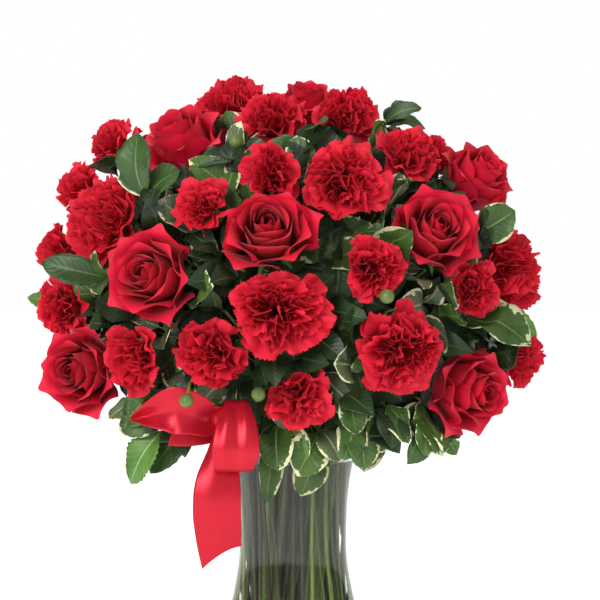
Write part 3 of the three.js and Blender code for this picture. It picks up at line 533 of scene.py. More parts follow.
def rose_petal(head, openness, azimuth, seed):
    """A cupped petal whose margin rolls outwards, the more so the further open it is."""
    draws = [chance(seed, k) for k in range(8)]
    size = head.size
    keys = np.array(ROSE_TIPS)
    reach, height, tilt, turn = (np.interp(openness, keys[:, 0], keys[:, k]) for k in range(1, 5))
    u = np.linspace(-1, 1, ROSE_COLUMNS + 1)[None, :]
    v = np.linspace(0, 1, ROSE_ROWS + 1)[:, None]
    point = 0.06 * smooth(0.25, 0.6, openness) + 0.10 * smooth(0.7, 0.95, openness)
    end = 1 - 0.30 * np.abs(u) ** 2.6 + point * np.exp(-(u / 0.24) ** 2)
    t = v * end / (1 + point)
    tilt = math.radians(tilt + 14 * (draws[0] - 0.5))
    reach *= size * (0.97 + 0.06 * draws[1])
    height = size * (height + 0.06 * (draws[2] - 0.5))
    start = np.array([1.0 + 2.5 * openness, -BASE_DEPTH["rose"] * size])
    tip = np.array([reach, height])
    first = start + size * np.array([0.26 + 0.52 * openness, 0.05])
    last = tip - turn * np.linalg.norm(tip - start) * 1.5 * np.array([math.sin(tilt), math.cos(tilt)])
    mid, tangent = bezier(start, first, last, tip, t)
    half = size * (0.27 + 0.40 * openness)
    width = half * (0.28 + 0.72 * smooth(0.0, 0.62, t)) * (1 - 0.16 * smooth(0.75, 1.0, t))
    bend = np.maximum(mid[..., 0], 0.05 * size) * 1.05 + size * (0.02 + 0.34 * openness ** 2)
    roll_from = 0.80 - 0.22 * smooth(0.3, 0.9, openness)
    roll = math.radians(150) * smooth(0.25, 0.85, openness) * (0.75 + 0.5 * draws[3])
    margin = np.maximum((np.abs(u) - roll_from) / (1 - roll_from), 0) ** 1.25 * smooth(0.3, 0.95, t)
    angle = np.minimum(np.abs(u) * width / bend, 2.4) - roll * margin
    angle = (angle[:, 1:] + angle[:, :-1]) / 2
    step = np.abs(np.diff(u * width, axis=1))
    outwards = np.where(np.arange(ROSE_COLUMNS) < ROSE_COLUMNS // 2, -1, 1)
    across, inward = (np.pad(np.cumsum(part * step, axis=1), ((0, 0), (1, 0)))
                      for part in (np.cos(angle), outwards * np.sin(angle)))
    across -= across[:, ROSE_COLUMNS // 2, None]
    inward -= inward[:, ROSE_COLUMNS // 2, None]
    wave = 0.02 * size * smooth(0.5, 1.0, t) * np.sin(math.pi * (1.1 + draws[4]) * u + 6.3 * draws[5])
    spiral = 0.05 * size * (1 - openness) * u * smooth(0.1, 0.5, t)
    r, h = raised(mid, tangent, inward + wave - spiral)
    return head.place(r, across, h, azimuth), (u + 1) / 2, t


def rose(head, seed):
    """Petals from the bud in the middle to the widest ones."""
    petals = []
    for i in range(ROSE_PETALS):
        openness = (i / (ROSE_PETALS - 1)) ** 0.9
        petals.append(rose_petal(head, openness, petal_azimuth(head, seed, i), seed * PETAL_SEEDS + i))
    return bloom(head, seed, petals)


# Materials

# Places of the two colours among the mix node's inputs, and of the mixed one among its outputs
MIX_A = 6
MIX_B = 7
MIX_RESULT = 2

# Colour of the leaves' pale margins
CREAM = (0.66, 0.66, 0.38)


class Value:
    """One output of a node, which adds, subtracts and multiplies like a number."""

    def __init__(self, nodes, socket):
        self.nodes = nodes
        self.socket = socket

    def __add__(self, other):
        return self.nodes.math("ADD", self, other)

    def __sub__(self, other):
        return self.nodes.math("SUBTRACT", self, other)

    def __rsub__(self, other):
        return self.nodes.math("SUBTRACT", other, self)

    def __mul__(self, other):
        return self.nodes.math("MULTIPLY", self, other)

    __radd__ = __add__


class Nodes:
    """The node tree of a material or the world, with short ways to add and join nodes."""

    def __init__(self, owner):
        self.owner = owner
        owner.use_nodes = True
        self.tree = owner.node_tree
        self.tree.nodes.clear()

    def put(self, value, socket):
        """Joins a value to an input, or sets a number, a vector or a colour on it."""
        if isinstance(value, Value):
            self.tree.links.new(value.socket, socket)
        else:
            socket.default_value = (*value, 1) if socket.type == "RGBA" else value

    def node(self, kind, inputs, output=0, **settings):
        made = self.tree.nodes.new(kind)
        for key, value in settings.items():
            setattr(made, key, value)
        for key, value in inputs.items():
            self.put(value, made.inputs[key])
        return Value(self, made.outputs[output]) if len(made.outputs) else None

    def uv(self, layer, axis=None):
        place = self.node("ShaderNodeUVMap", {}, "UV", uv_map=layer)
        return self.node("ShaderNodeSeparateXYZ", {"Vector": place}, axis) if axis else place

    def math(self, operation, *values):
        return self.node("ShaderNodeMath", dict(enumerate(values)), operation=operation)

    def noise(self, scale, detail, coords=None, stretch=None):
        place = coords or self.node("ShaderNodeTexCoord", {}, "Object")
        if stretch:
            place = self.node("ShaderNodeMapping", {"Vector": place, "Scale": stretch}, "Vector")
        return self.node("ShaderNodeTexNoise", {"Scale": scale, "Detail": detail, "Vector": place}, "Fac")

    def ramp(self, factor, stops):
        colour = self.node("ShaderNodeValToRGB", {"Fac": factor}, "Color")
        elements = colour.socket.node.color_ramp.elements
        while len(elements) < len(stops):
            elements.new(0.5)
        for element, (position, stop) in zip(elements, stops):
            element.position = position
            element.color = (*stop, 1)
        return colour

    def mix(self, factor, a, b, blend="MIX"):
        return self.node("ShaderNodeMix", {"Factor": factor, MIX_A: a, MIX_B: b}, MIX_RESULT,
                         data_type="RGBA", blend_type=blend)

    def shaded(self, colour, amount):
        """A colour times an amount of light."""
        grey = self.node("ShaderNodeCombineColor", {"Red": amount, "Green": amount, "Blue": amount}, "Color")
        return self.mix(1.0, colour, grey, "MULTIPLY")

    def bump(self, height, strength, distance):
        inputs = {"Height": height, "Strength": strength, "Distance": distance}
        return self.node("ShaderNodeBump", inputs, "Normal")

    def finish(self, shader):
        self.node("ShaderNodeOutputMaterial", {"Surface": shader})
        return self.owner

    def surface(self, colour, normal, settings):
        inputs = {"Base Color": colour, "Normal": normal, **settings}
        return self.finish(self.node("ShaderNodeBsdfPrincipled", inputs, "BSDF"))


def material_nodes(name):
    return Nodes(bpy.data.materials.new(name))


def petal_material(name, base, body, edge, settings, vein_strength):
    """Petal: darker in its depth as painted shade, brighter at its edge as a painted highlight, with fine
    veins that fan out from the claw.
    """
    n = material_nodes(name)
    veins = n.noise(1.0, 2.0, n.uv("Paint"), (46, 2.2, 1))
    place = n.uv("Paint", "Y") + (n.noise(90, 3.0) - 0.5) * 0.35
    # Painted shade darkens the colour towards the claw, and a painted highlight brightens it at the edge
    colour = n.ramp(place, [(0.0, base), (0.55, body), (0.93, edge)])
    colour = n.shaded(colour, 0.80 + n.uv("Tone", "X") * 0.25 + (veins - 0.5) * 0.4)
    shine = {"Sheen Roughness": 0.45, "Sheen Tint": (1.0, 0.25, 0.25), "Specular IOR Level": 0.3,
             "Specular Tint": (1.0, 0.5, 0.5)}
    return n.surface(colour, n.bump(veins, vein_strength, 0.0006), {**shine, **settings})


def leaf_material(name, deep, light, vein, margin_from=None):
    """Leaf: a pale midrib and side veins, light and dark patches, and where it has one a cream margin."""
    n = material_nodes(name)
    along = n.uv("Paint", "Y")
    from_rib = n.math("ABSOLUTE", (n.uv("Paint", "X") - 0.5) * 2.0)
    patches = n.noise(60, 4.0)
    colour = n.mix(n.ramp(patches, [(0.3, (0, 0, 0)), (0.7, (1, 1, 1))]), deep, light)
    ridge = n.math("ABSOLUTE", n.math("FRACT", along * 9.0 - from_rib * 2.2) - 0.5)
    crest = n.math("SMOOTH_MIN", (0.09 - ridge) * 12.0, 1.0, 0.2)
    side_vein = n.math("MAXIMUM", crest * 0.16, 0.0)
    rib = n.math("LESS_THAN", from_rib, 0.07 - along * 0.05)
    colour = n.mix(n.math("MAXIMUM", side_vein, rib * 0.8), colour, vein)
    if margin_from:
        edge = n.math("MAXIMUM", from_rib, (along - 0.5) * 1.95)
        ragged = (n.noise(75, 1.0) - 0.5) + (n.noise(420, 2.0) - 0.5) * 0.5
        colour = n.mix(n.math("GREATER_THAN", edge, margin_from + ragged), colour, CREAM)
    colour = n.shaded(colour, 0.60 + n.uv("Tone", "X") * 0.62)
    return n.surface(colour, n.bump(ridge * 0.8 + patches, 0.35, 0.0008),
                     {"Roughness": 0.38, "Specular IOR Level": 0.35})


def stem_material():
    """Stem: from brown to fresh green by chance, in streaks that run up it."""
    n = material_nodes("stem_green")
    streaks = n.noise(1.0, 4.0, None, (420, 420, 40))
    mixed = n.uv("Tone", "X") * 0.75 + streaks * 0.35
    colour = n.ramp(mixed, [(0.08, (0.034, 0.016, 0.017)), (0.34, (0.052, 0.047, 0.022)),
                            (0.60, (0.075, 0.105, 0.022)), (0.82, (0.16, 0.21, 0.034)),
                            (1.0, (0.26, 0.31, 0.050))])
    return n.surface(colour, n.bump(streaks, 0.3, 0.0005), {"Roughness": 0.5, "Specular IOR Level": 0.4})


def specked_material(name, scale, dark, light, bump, settings):
    """Two close tones in fine specks: a bud's skin, or the coating of the bow's wire pick."""
    n = material_nodes(name)
    specks = n.noise(scale, 3.0)
    return n.surface(n.mix(specks, dark, light), n.bump(specks, *bump), settings)


def satin_material():
    """Satin: a sheen that runs with the cloth, over threads too fine to tell apart."""
    n = material_nodes("satin_red")
    threads = n.noise(1.0, 2.0, n.uv("Paint"), (60, 900, 1))
    colour = n.mix(n.noise(45, 2.0), (0.41, 0.0075, 0.020), (0.55, 0.012, 0.029))
    return n.surface(colour, n.bump(threads, 0.12, 0.0002),
                     {"Roughness": 0.29, "Metallic": 0.40, "Specular IOR Level": 0.7,
                      "Specular Tint": (1, 0.4, 0.4)})


def clear_material(name, colour, ior):
    """Clear glass or water, which lets straight light through in its shadow."""
    n = material_nodes(name)
    normal = n.bump(n.noise(18, 2.0), 0.08, 0.001)
    shader = n.node("ShaderNodeBsdfPrincipled", {"Base Color": colour, "Transmission Weight": 1.0,
                                                 "Roughness": 0.0, "IOR": ior, "Normal": normal}, "BSDF")
    clear = n.node("ShaderNodeBsdfTransparent", {"Color": [0.6 + 0.4 * c for c in colour]}, "BSDF")
    shadow = n.node("ShaderNodeLightPath", {}, "Is Shadow Ray")
    return n.finish(n.node("ShaderNodeMixShader", {0: shadow, 1: shader, 2: clear}, "Shader"))


# Each red runs from the petals' depth, darkened as painted shade, through their body to their edge,
# brightened as a painted highlight
CARNATION_RED = petal_material("carnation_red", (0.46, 0.0065, 0.029), (0.66, 0.0110, 0.036),
                               (0.69, 0.017, 0.041), {"Sheen Weight": 0.10, "Roughness": 0.6}, 0.35)
ROSE_RED = petal_material("rose_red", (0.28, 0.0026, 0.027), (0.61, 0.0070, 0.040),
                          (0.65, 0.013, 0.042), {"Sheen Weight": 0.28, "Roughness": 0.5}, 0.18)
LEAVES = {
    "dark": leaf_material("leaf_dark", (0.010, 0.023, 0.009), (0.028, 0.056, 0.017), (0.08, 0.12, 0.045)),
    "cream": leaf_material("leaf_cream_edged", (0.026, 0.070, 0.013), (0.080, 0.16, 0.030),
                           (0.20, 0.28, 0.09), 0.93),
    "toothed": leaf_material("leaf_toothed", (0.045, 0.13, 0.014), (0.12, 0.26, 0.045), (0.36, 0.48, 0.20)),
    "pale": leaf_material("leaf_pale", (0.060, 0.095, 0.042), (0.12, 0.16, 0.075), (0.44, 0.48, 0.30), 0.90),
    "plain": leaf_material("leaf_plain", (0.022, 0.062, 0.013), (0.060, 0.13, 0.026), (0.17, 0.26, 0.08)),
}
STEM_GREEN = stem_material()
BUD_GREEN = specked_material("bud_green", 260, (0.05, 0.09, 0.018), (0.15, 0.21, 0.045), (0.25, 0.0006),
                             {"Roughness": 0.36, "Specular IOR Level": 0.5})
WIRE_GREEN = specked_material("coated_wire_green", 300, (0.02, 0.045, 0.015), (0.045, 0.085, 0.03),
                              (0.2, 0.0003), {"Roughness": 0.45})
SATIN = satin_material()


# Sectors divide the bouquet like a cake, so that the handfuls of stems never meet above the rim

class Sector:
    def __init__(self, number):
        self.name = SECTOR_NAMES[number]
        self.start = SECTOR_EDGES[number]
        self.stop = (SECTOR_EDGES + [SECTOR_EDGES[0] + 360])[number + 1]
        self.walls = [direction(self.start + 90), direction(self.stop - 90)]
        self.stems = []

    def holds(self, azimuth):
        return self.start <= azimuth < self.stop or azimuth + 360 < self.stop


SECTORS = [Sector(k) for k in range(len(SECTOR_EDGES))]


def azimuth_of(point):
    return math.degrees(math.atan2(point[0], -point[1]))


def sector_of(point):
    return next(s for s in SECTORS if s.holds(azimuth_of(point)))


# What leaves and stems keep clear of: the heads and the bow, each as a ball
BLOCKS = [(head, head.centre, head.size * 2 * HEAD_REACH) for head in HEADS]
BLOCKS += [(None, np.array([x, y, z], float), r) for x, y, z, r in BOW_ROOM]


def bend_clear(points, sector, room, own=None):
    """Bends points clear of the heads, the bow, the glass and the sector's two walls."""
    shape = np.shape(points)
    p = np.array(points, float).reshape(-1, 3)
    least = RIM_RADIUS + room + 1
    for _ in range(BEND_ROUNDS):
        for head, centre, radius in BLOCKS:
            if own and head is own:
                continue
            away = p - centre
            distance = np.linalg.norm(away, axis=1)
            near = distance < radius + room
            if near.any():
                p[near] = centre + away[near] * ((radius + room) / distance[near])[:, None]
        outward = np.hypot(p[:, 0], p[:, 1])
        low = (p[:, 2] < VASE_HEIGHT + room + 1) & (outward > RIM_RADIUS - RIM_BAND)
        p[low & (outward < RIM_RADIUS), 2] = VASE_HEIGHT + room + 1
        beside = low & (outward >= RIM_RADIUS) & (outward < least)
        p[beside, :2] *= (least / outward[beside])[:, None]
        for wall in sector.walls:
            p -= np.minimum(p @ wall - room, 0)[:, None] * wall
    return p.reshape(shape)


def add_target(kind, at, **grows):
    """Every head, twig and bud ends a stem of its sector; sprays and leafy stems fork above the rim."""
    at = np.array(at, float)
    sector = sector_of(at)
    family = {"bud": "mini", "twig": "greenery"}.get(kind, kind)
    stem = next((s for s in sector.stems if s["kind"] == family), None)
    if stem is None or family not in FORK_RISE:
        stem = {"kind": family, "ends": []}
        sector.stems.append(stem)
    stem["ends"].append({"at": at, **grows})


for flower in HEADS:
    add_target(flower.kind, flower.base, head=flower)
for x, y, z, azimuth, elevation in BUDS:
    add_target("bud", (x, y, z), way=direction(azimuth, elevation))
for x, y, z, leaves in FRONT_TWIGS:
    add_target("twig", (x, y, z), leaves=leaves)
for elevation, azimuth in BACK_TWIGS:
    add_target("twig", dome_place(elevation, azimuth, BACK_TWIG_DEPTH), leaves=[
        (azimuth - 50, elevation + 25, BACK_LEAF_LENGTH, BACK_LEAF_WIDTH, "cream"),
        (azimuth + 45, elevation + 5, BACK_LEAF_LENGTH * 0.9, BACK_LEAF_WIDTH, "dark"),
        (azimuth, elevation - 45, BACK_LEAF_LENGTH, BACK_LEAF_WIDTH * 1.1, "cream"),
    ])


def place_stems(sector):
    """Places at the rim: the higher a stem's flower is, the nearer the middle the stem stands."""
    for stem in sector.stems:
        aim = np.mean([e["at"] for e in stem["ends"]], axis=0)
        stem["lean"] = math.atan2(math.hypot(aim[0], aim[1]), aim[2] - RIM_LEVEL)
        azimuth = azimuth_of(aim)
        stem["azimuth"] = azimuth + 360 if azimuth < sector.start else azimuth
    order = sorted(sector.stems, key=lambda s: s["lean"])
    for places, radius in zip(ROW_PLACES, ROW_RADII):
        placed = sorted(order[:places], key=lambda s: s["azimuth"])
        order = order[places:]
        for k, stem in enumerate(placed):
            azimuth = sector.start + (sector.stop - sector.start) * (k + 0.5) / len(placed)
            stem["place"] = direction(azimuth) * radius
    sector.middle = np.mean([s["place"] for s in sector.stems], axis=0)


def in_vase(place, z):
    """Where a stem that stands at a place at the rim is at another height."""
    rim = SPIRAL * (RIM_LEVEL - WAIST_HEIGHT)
    here = SPIRAL * (z - WAIST_HEIGHT)
    scale = 1 / (1 + rim * rim)
    along = scale * (1 + rim * here)
    across = scale * (here - rim)
    return np.array([place[0] * along - place[1] * across, place[1] * along + place[0] * across, z])


def vase_line(stem, sector):
    """Where a stem stands in the vase and where it is at the rim, with the way it leaves there."""
    foot = in_vase(stem["place"], STEM_FOOT) * GATHER + in_vase(sector.middle, STEM_FOOT) * (1 - GATHER)
    rim = in_vase(stem["place"], RIM_LEVEL)
    return foot, rim, unit(rim - foot)


def run(start, start_way, end, end_way, reach, sector, room, count=10, own=None):
    """Points on a smooth curve from one point and way to another, bent clear of what it passes and eased."""
    span = np.linalg.norm(end - start) * reach
    points, _ = bezier(start, start + start_way * span, end - end_way * span, end, np.linspace(0, 1, count))
    p = bend_clear(points, sector, room, own)
    p[0], p[-1] = points[0], points[-1]
    for _ in range(EASE_ROUNDS):
        p[1:-1] = (p[:-2] + 2 * p[1:-1] + p[2:]) / 4
    return p


# Leaves: where the blade is widest, how blunt it is, its teeth and waves, and its rows. Each is folded at
# the midrib, arched, drooping and bowed a little to one side, in parts of its width or length.

LEAF_KINDS = {
    "dark": {"bulge": 0.85, "tip": 0.85, "teeth": 0, "wave": 0.10, "rows": 12},
    "cream": {"bulge": 1.1, "tip": 0.54, "teeth": 0, "wave": 0.17, "rows": 14},
    "toothed": {"bulge": 1.2, "tip": 0.62, "teeth": 0.12, "wave": 0.08, "rows": 26},
    "pale": {"bulge": 1.12, "tip": 0.56, "teeth": 0, "wave": 0.14, "rows": 14},
    "plain": {"bulge": 1.15, "tip": 0.58, "teeth": 0.05, "wave": 0.13, "rows": 18},
}
LEAF_COLUMNS = 8
LEAF_THICKNESS = 0.45
LEAF_ROOM = 1.3
LEAF_FOLD = 0.22
LEAF_ARCH = 0.14
LEAF_DROOP = 0.10
LEAF_BOW = 0.05
PETIOLE_SHARE = 0.12
LEAF_SEEDS = 7
LEAF_ORDER = list(LEAF_KINDS)
STEM_PART = len(LEAF_ORDER)
BUD_PART = STEM_PART + 1
GREEN_MATERIALS = [LEAVES[k] for k in LEAF_ORDER] + [STEM_GREEN, BUD_GREEN]

# A leaf that would lie in a flower or over its face turns or shrinks until it lies beside it. It is
# tried at points along it and beside its midrib, and each turn and each loss of size has its price.
FACE_LEAN = np.array([0.0, -0.55, 0.25])
FACE_LEAN_TO = 20
BOW_SHARE = 0.72
TURNS = [(turn, tilt) for turn in (0, -18, 18, -36, 36, -56, 56) for tilt in (0, -18, 18, -36, 36)]
SHRINKS = np.array([1, 0.86, 0.72, 0.58])
TRIED_ALONG = np.array([0.35, 0.65, 1.0])
TRIED_BESIDE = np.array([-0.4, 0, 0.4])
HEAD_ROOM = 2
FACE_SHARE = 0.95
FACE_AHEAD = 26
FACE_COST = 1.6
TURN_COST = 0.25
SHRINK_COST = 30
BLOCK_CENTRES = np.array([centre for _, centre, _ in BLOCKS])
BLOCK_RADII = np.array([radius if head else radius * BOW_SHARE for head, _, radius in BLOCKS])
BLOCK_WAYS = np.array([head.way if head else np.zeros(3) for head, _, _ in BLOCKS])


def leaf_frame(centre, azimuth, elevation):
    """A leaf's way, its side and its face, which looks away from the bouquet's middle and to the light."""
    way = direction(azimuth, elevation)
    outward = unit(centre - UP * min(DOME_CENTRE_Z, centre[2])) + FACE_LEAN * (centre[1] < FACE_LEAN_TO)
    face = outward - way * outward.dot(way)
    if np.linalg.norm(face) < 0.2:
        face = UP - way * way[2]
    face = unit(face)
    return way, np.cross(way, face), face


def settled(centre, azimuth, elevation, length, width):
    """The azimuth, elevation and size nearest to the wanted ones at which a leaf lies clear."""
    near = np.linalg.norm(BLOCK_CENTRES - centre, axis=1) < BLOCK_RADII + length + 2 * HEAD_ROOM
    if not near.any():
        return azimuth, elevation, 1
    radii, ways = BLOCK_RADII[near], BLOCK_WAYS[near]
    frames = np.array([leaf_frame(centre, azimuth + turn, elevation + tilt) for turn, tilt in TURNS])
    way, side, _ = np.moveaxis(frames, 1, 0)[:, :, None, None, None]
    along = length * TRIED_ALONG[:, None, None] * way + width * TRIED_BESIDE[:, None] * side
    points = centre + SHRINKS[:, None, None, None] * along
    away = points[..., None, :] - BLOCK_CENTRES[near]
    distance = np.linalg.norm(away, axis=-1)
    ahead = np.sum(away * ways, axis=-1)
    lateral = np.sqrt(np.maximum(distance ** 2 - ahead ** 2, 0))
    depth = np.maximum(radii + HEAD_ROOM - distance, 0)
    over = np.maximum(radii * FACE_SHARE - lateral, 0) * (ahead > 0) * (ahead < radii + FACE_AHEAD)
    cost = (depth + FACE_COST * over).sum(axis=(2, 3, 4))
    cost += TURN_COST * np.abs(TURNS).sum(axis=1)[:, None] + SHRINK_COST * (1 - SHRINKS)
    chosen, smaller = np.unravel_index(np.argmin(cost), cost.shape)
    return azimuth + TURNS[chosen][0], elevation + TURNS[chosen][1], SHRINKS[smaller]


def leaf(gather, centre, wanted, sector, seed, detail=1):
    """An arched leaf on a short stalk, folded a little at its midrib and waved at its margin."""
    azimuth, elevation, length, width, kind = wanted
    form = LEAF_KINDS[kind]
    azimuth, elevation, shrink = settled(centre, azimuth, elevation, length, width)
    length *= shrink
    width *= shrink
    way, across, face = leaf_frame(centre, azimuth, elevation)
    rows = int(form["rows"] * detail)
    columns = int(LEAF_COLUMNS * detail / 2) * 2
    t = np.linspace(0, 1, rows + 1)[:, None]
    s = np.linspace(-1, 1, columns + 1)[None, :]
    blade = np.clip((t - PETIOLE_SHARE) / (1 - PETIOLE_SHARE), 0, 1)
    half = np.sin(math.pi * blade ** form["bulge"]) ** form["tip"] * width / 2
    half = np.maximum(half * (1 - form["teeth"] * (np.arange(rows + 1) % 2)[:, None]), 0.5 - 0.3 * t)
    edge = np.abs(s)
    phase = 6.3 * chance(seed, 1)
    turns = 9 + 5 * chance(seed, 2)
    waves = form["wave"] * half * edge ** 2 * np.sin(turns * t + phase + 1.3 * s)
    fold = LEAF_FOLD * half * edge
    arch = LEAF_ARCH * length * np.sin(math.pi * t) - LEAF_DROOP * length * t
    bow = LEAF_BOW * length * (chance(seed, 3) - 0.5) * np.sin(math.pi * t)
    points = (centre + (length * t)[..., None] * way + (s * half + bow)[..., None] * across
              + (arch + fold + waves)[..., None] * face)
    points = bend_clear(points, sector, LEAF_ROOM)
    paint = ((s + 1) / 2, blade, chance(seed, 4), LEAF_ORDER.index(kind))
    if detail < 1:
        gather.grid(points, *paint)
    else:
        gather.blade(points, LEAF_THICKNESS, *paint)


def twig(gather, fork, leaving, at, leaves, sector, seed, detail=1):
    """A thin branch that fans out to its tip, where its leaves sit."""
    way = unit(at - UP * TWIG_FAN_Z)
    line = run(fork, leaving, at, way, TWIG_REACH, sector, TWIG_RADIUS + STEM_ROOM, 10 if detail == 1 else 6)
    line[-1] = bend_clear(line[-1:], sector, TWIG_RADIUS + 1)[0]
    gather.tube(line, np.linspace(TWIG_RADIUS * 1.2, TWIG_RADIUS * 0.8, len(line)), 6, 0.75, STEM_PART)
    for k, wanted in enumerate(leaves):
        leaf(gather, line[-1], wanted, sector, seed * LEAF_SEEDS + k, detail)


def bud_branch(gather, fork, leaving, at, way, sector):
    """A round bud in its green calyx, split by the tips of its sepals."""
    bottom = at - way * BUD_RADIUS * 1.2
    line = run(fork, leaving, bottom, way, BUD_REACH, sector, TWIG_RADIUS + STEM_ROOM)
    gather.tube(line, TWIG_RADIUS, 6, 0.8, STEM_PART)
    t = np.linspace(0.0, 1.0, 12)[:, None]
    lobes = 1 + 0.05 * np.cos(5 * full_turn(BUD_SIDES)) * smooth(0.5, 1.0, t)
    radius = BUD_RADIUS * np.sin(math.pi * np.clip(0.06 + 0.94 * t, 0, 1)) ** 0.62 * lobes
    height = BUD_RADIUS * (2.1 * t - 0.05)
    gather.rings(bottom, (*cross_pair(way), way), radius, height, t, BUD_SIDES, 0.5, BUD_PART)


def calyx(gather, head):
    """The green cup under a head: a toothed tube under a carnation, a hip with five sepals under a rose."""
    hip = head.kind == "rose"
    radius = BRANCH_RADIUS if head.kind == "mini" else STEM_RADIUS[head.kind]
    t = np.linspace(0, 1, 8)[:, None]
    swell = smooth(0.0, 0.45, t) if hip else smooth(0.0, 0.3, t) * 0.85 + 0.15 * t
    teeth = 0 if hip else 3.0 * np.abs(np.cos(2.5 * full_turn(CALYX_SIDES))) * smooth(0.75, 1, t)
    gather.rings(head.base, (head.side, head.other, head.way), radius + (CALYX_RADIUS - radius) * swell,
                 teeth - CALYX_LENGTH[head.kind] * (1 - t), t, CALYX_SIDES, 0.6, BUD_PART)
    for k in range(5 if hip else 0):
        sepal(gather, head, 2 * math.pi * k / 5 + head.centre[0])


def sepal(gather, head, azimuth):
    """A narrow sepal that lies along the underside of its rose."""
    t = np.linspace(0, 1, 9)[:, None]
    s = np.linspace(-1, 1, 5)[None, :]
    out = head.side * math.cos(azimuth) + head.other * math.sin(azimuth)
    turn = np.cross(head.way, out)
    half = np.maximum(3.4 * (1 - t) ** 0.8 * (0.5 + t) ** 0.5, 0.2)
    reach = CALYX_RADIUS * 0.8 + 17 * t
    rise = -1.0 + 6 * t - 10 * t * t
    points = (head.base + reach[..., None] * out + (s * half)[..., None] * turn
              + (rise + 0.5 * np.abs(s) * half)[..., None] * head.way)
    gather.blade(points, 0.5, (s + 1) / 2, t, 0.6, LEAF_ORDER.index("toothed"))


def to_head(gather, start, leaving, head, sector, radius, seed):
    """The stem's end below a head, up to its calyx."""
    neck = head.base - head.way * CALYX_LENGTH[head.kind]
    path = run(start, leaving, neck, head.way, STEM_REACH, sector, radius + STEM_ROOM, 12, head)
    gather.tube(path, radius * 0.92, 8, chance(seed, 2), STEM_PART)
    calyx(gather, head)


# Bare stems along the glass: degrees from one to the next, how far from the axis they end, their radius
# and the most degrees that one slants
WALL_STEM_STEP = 11
WALL_STEM_TOP = 34.6
WALL_STEM_FOOT = 37
WALL_STEM_RADIUS = 1.6
WALL_STEM_SLANT = 60


def wall_stems(gather, sector):
    """Bare stems of the leaves round the rim: they lean against the glass at many slants, from the
    vase's floor to the collar, and cross the stems behind them."""
    for k in range(int(sector.start / WALL_STEM_STEP) + 1, int(sector.stop / WALL_STEM_STEP) + 1):
        radius = WALL_STEM_RADIUS * (0.8 + 0.35 * chance(k, 6))
        slant = WALL_STEM_SLANT * (chance(k, 3) - 0.32)
        foot = direction(k * WALL_STEM_STEP + slant / 2) * (WALL_STEM_FOOT - 6 * chance(k, 8))
        top = direction(k * WALL_STEM_STEP - slant / 2) * (WALL_STEM_TOP - 2.5 * chance(k, 4))
        foot = foot + UP * STEM_FOOT
        top = top + UP * (RIM_LEVEL + 14 + 10 * chance(k, 5))
        line = foot + (top - foot) * np.linspace(0, 1, 16)[:, None]
        for point in line:
            room = outer_radius(min(point[2], VASE_HEIGHT)) - WALL - 1.3 * radius
            point[:2] *= min(1, room / math.hypot(point[0], point[1]))
        gather.tube(line, radius, 8, chance(k, 7), STEM_PART)


# How far apart the seeds of the sectors and of the stems are
SECTOR_SEEDS = 40
STEM_SEEDS = 31


def handful(sector):
    """One sector's stems with all that grows on them."""
    gather = Gather()
    wall_stems(gather, sector)
    number = 0
    for index, stem in enumerate(sector.stems):
        seed = SECTORS.index(sector) * SECTOR_SEEDS + index
        radius = STEM_RADIUS[stem["kind"]]
        foot, rim, leaving = vase_line(stem, sector)
        ends = stem["ends"]
        single = len(ends) == 1 and "head" in ends[0]
        rise = 0 if single else FORK_RISE[stem["kind"]]
        column = np.linspace(foot, rim + leaving * rise, COLUMN_POINTS)
        knots = 1 + NODE_SWELL * np.array([chance(seed, k) > NODE_CHANCE for k in range(COLUMN_POINTS)])
        gather.tube(column, radius * 0.95 * knots, 10, chance(seed, 1), STEM_PART)
        for k, end in enumerate(ends):
            number += 1
            mark = seed * STEM_SEEDS + number
            start = rim
            if not single:
                start = rim + leaving * (rise * (k + 1) / len(ends) - 1)
                radius = BRANCH_RADIUS
            if "head" in end:
                to_head(gather, start, leaving, end["head"], sector, radius, mark)
            elif "way" in end:
                bud_branch(gather, start, leaving, end["at"], end["way"], sector)
            else:
                twig(gather, start, leaving, end["at"], end["leaves"], sector, mark)
    gather.piece(f"greenery_{sector.name}", "greenery", GREEN_MATERIALS, [f"stems_and_leaves_{sector.name}"])


# Filling foliage: leafy twigs in the hollows between the heads, on the same stems, in an outer and an
# inner shell. Each shell has its share of the dome's radius, its number of places and its leaves' size.
FILLER_SHELLS = [(0.80, 290, 1.0), (0.58, 140, 1.25)]
FILLER_DETAIL = 0.75
FILLER_LOWEST = -64
FILLER_WALL_ROOM = 2
FILLER_KINDS = ["dark", "dark", "cream", "dark", "dark", "pale"]
# In front of this the hollows hold only dark leaves: real leaves, made dark here also as painted shade
# between the heads
FILLER_DARK_SHADE_FRONT = -92
# The seeds of the twigs start here
COLLAR_SEEDS = 700
FILLER_SEEDS = 900

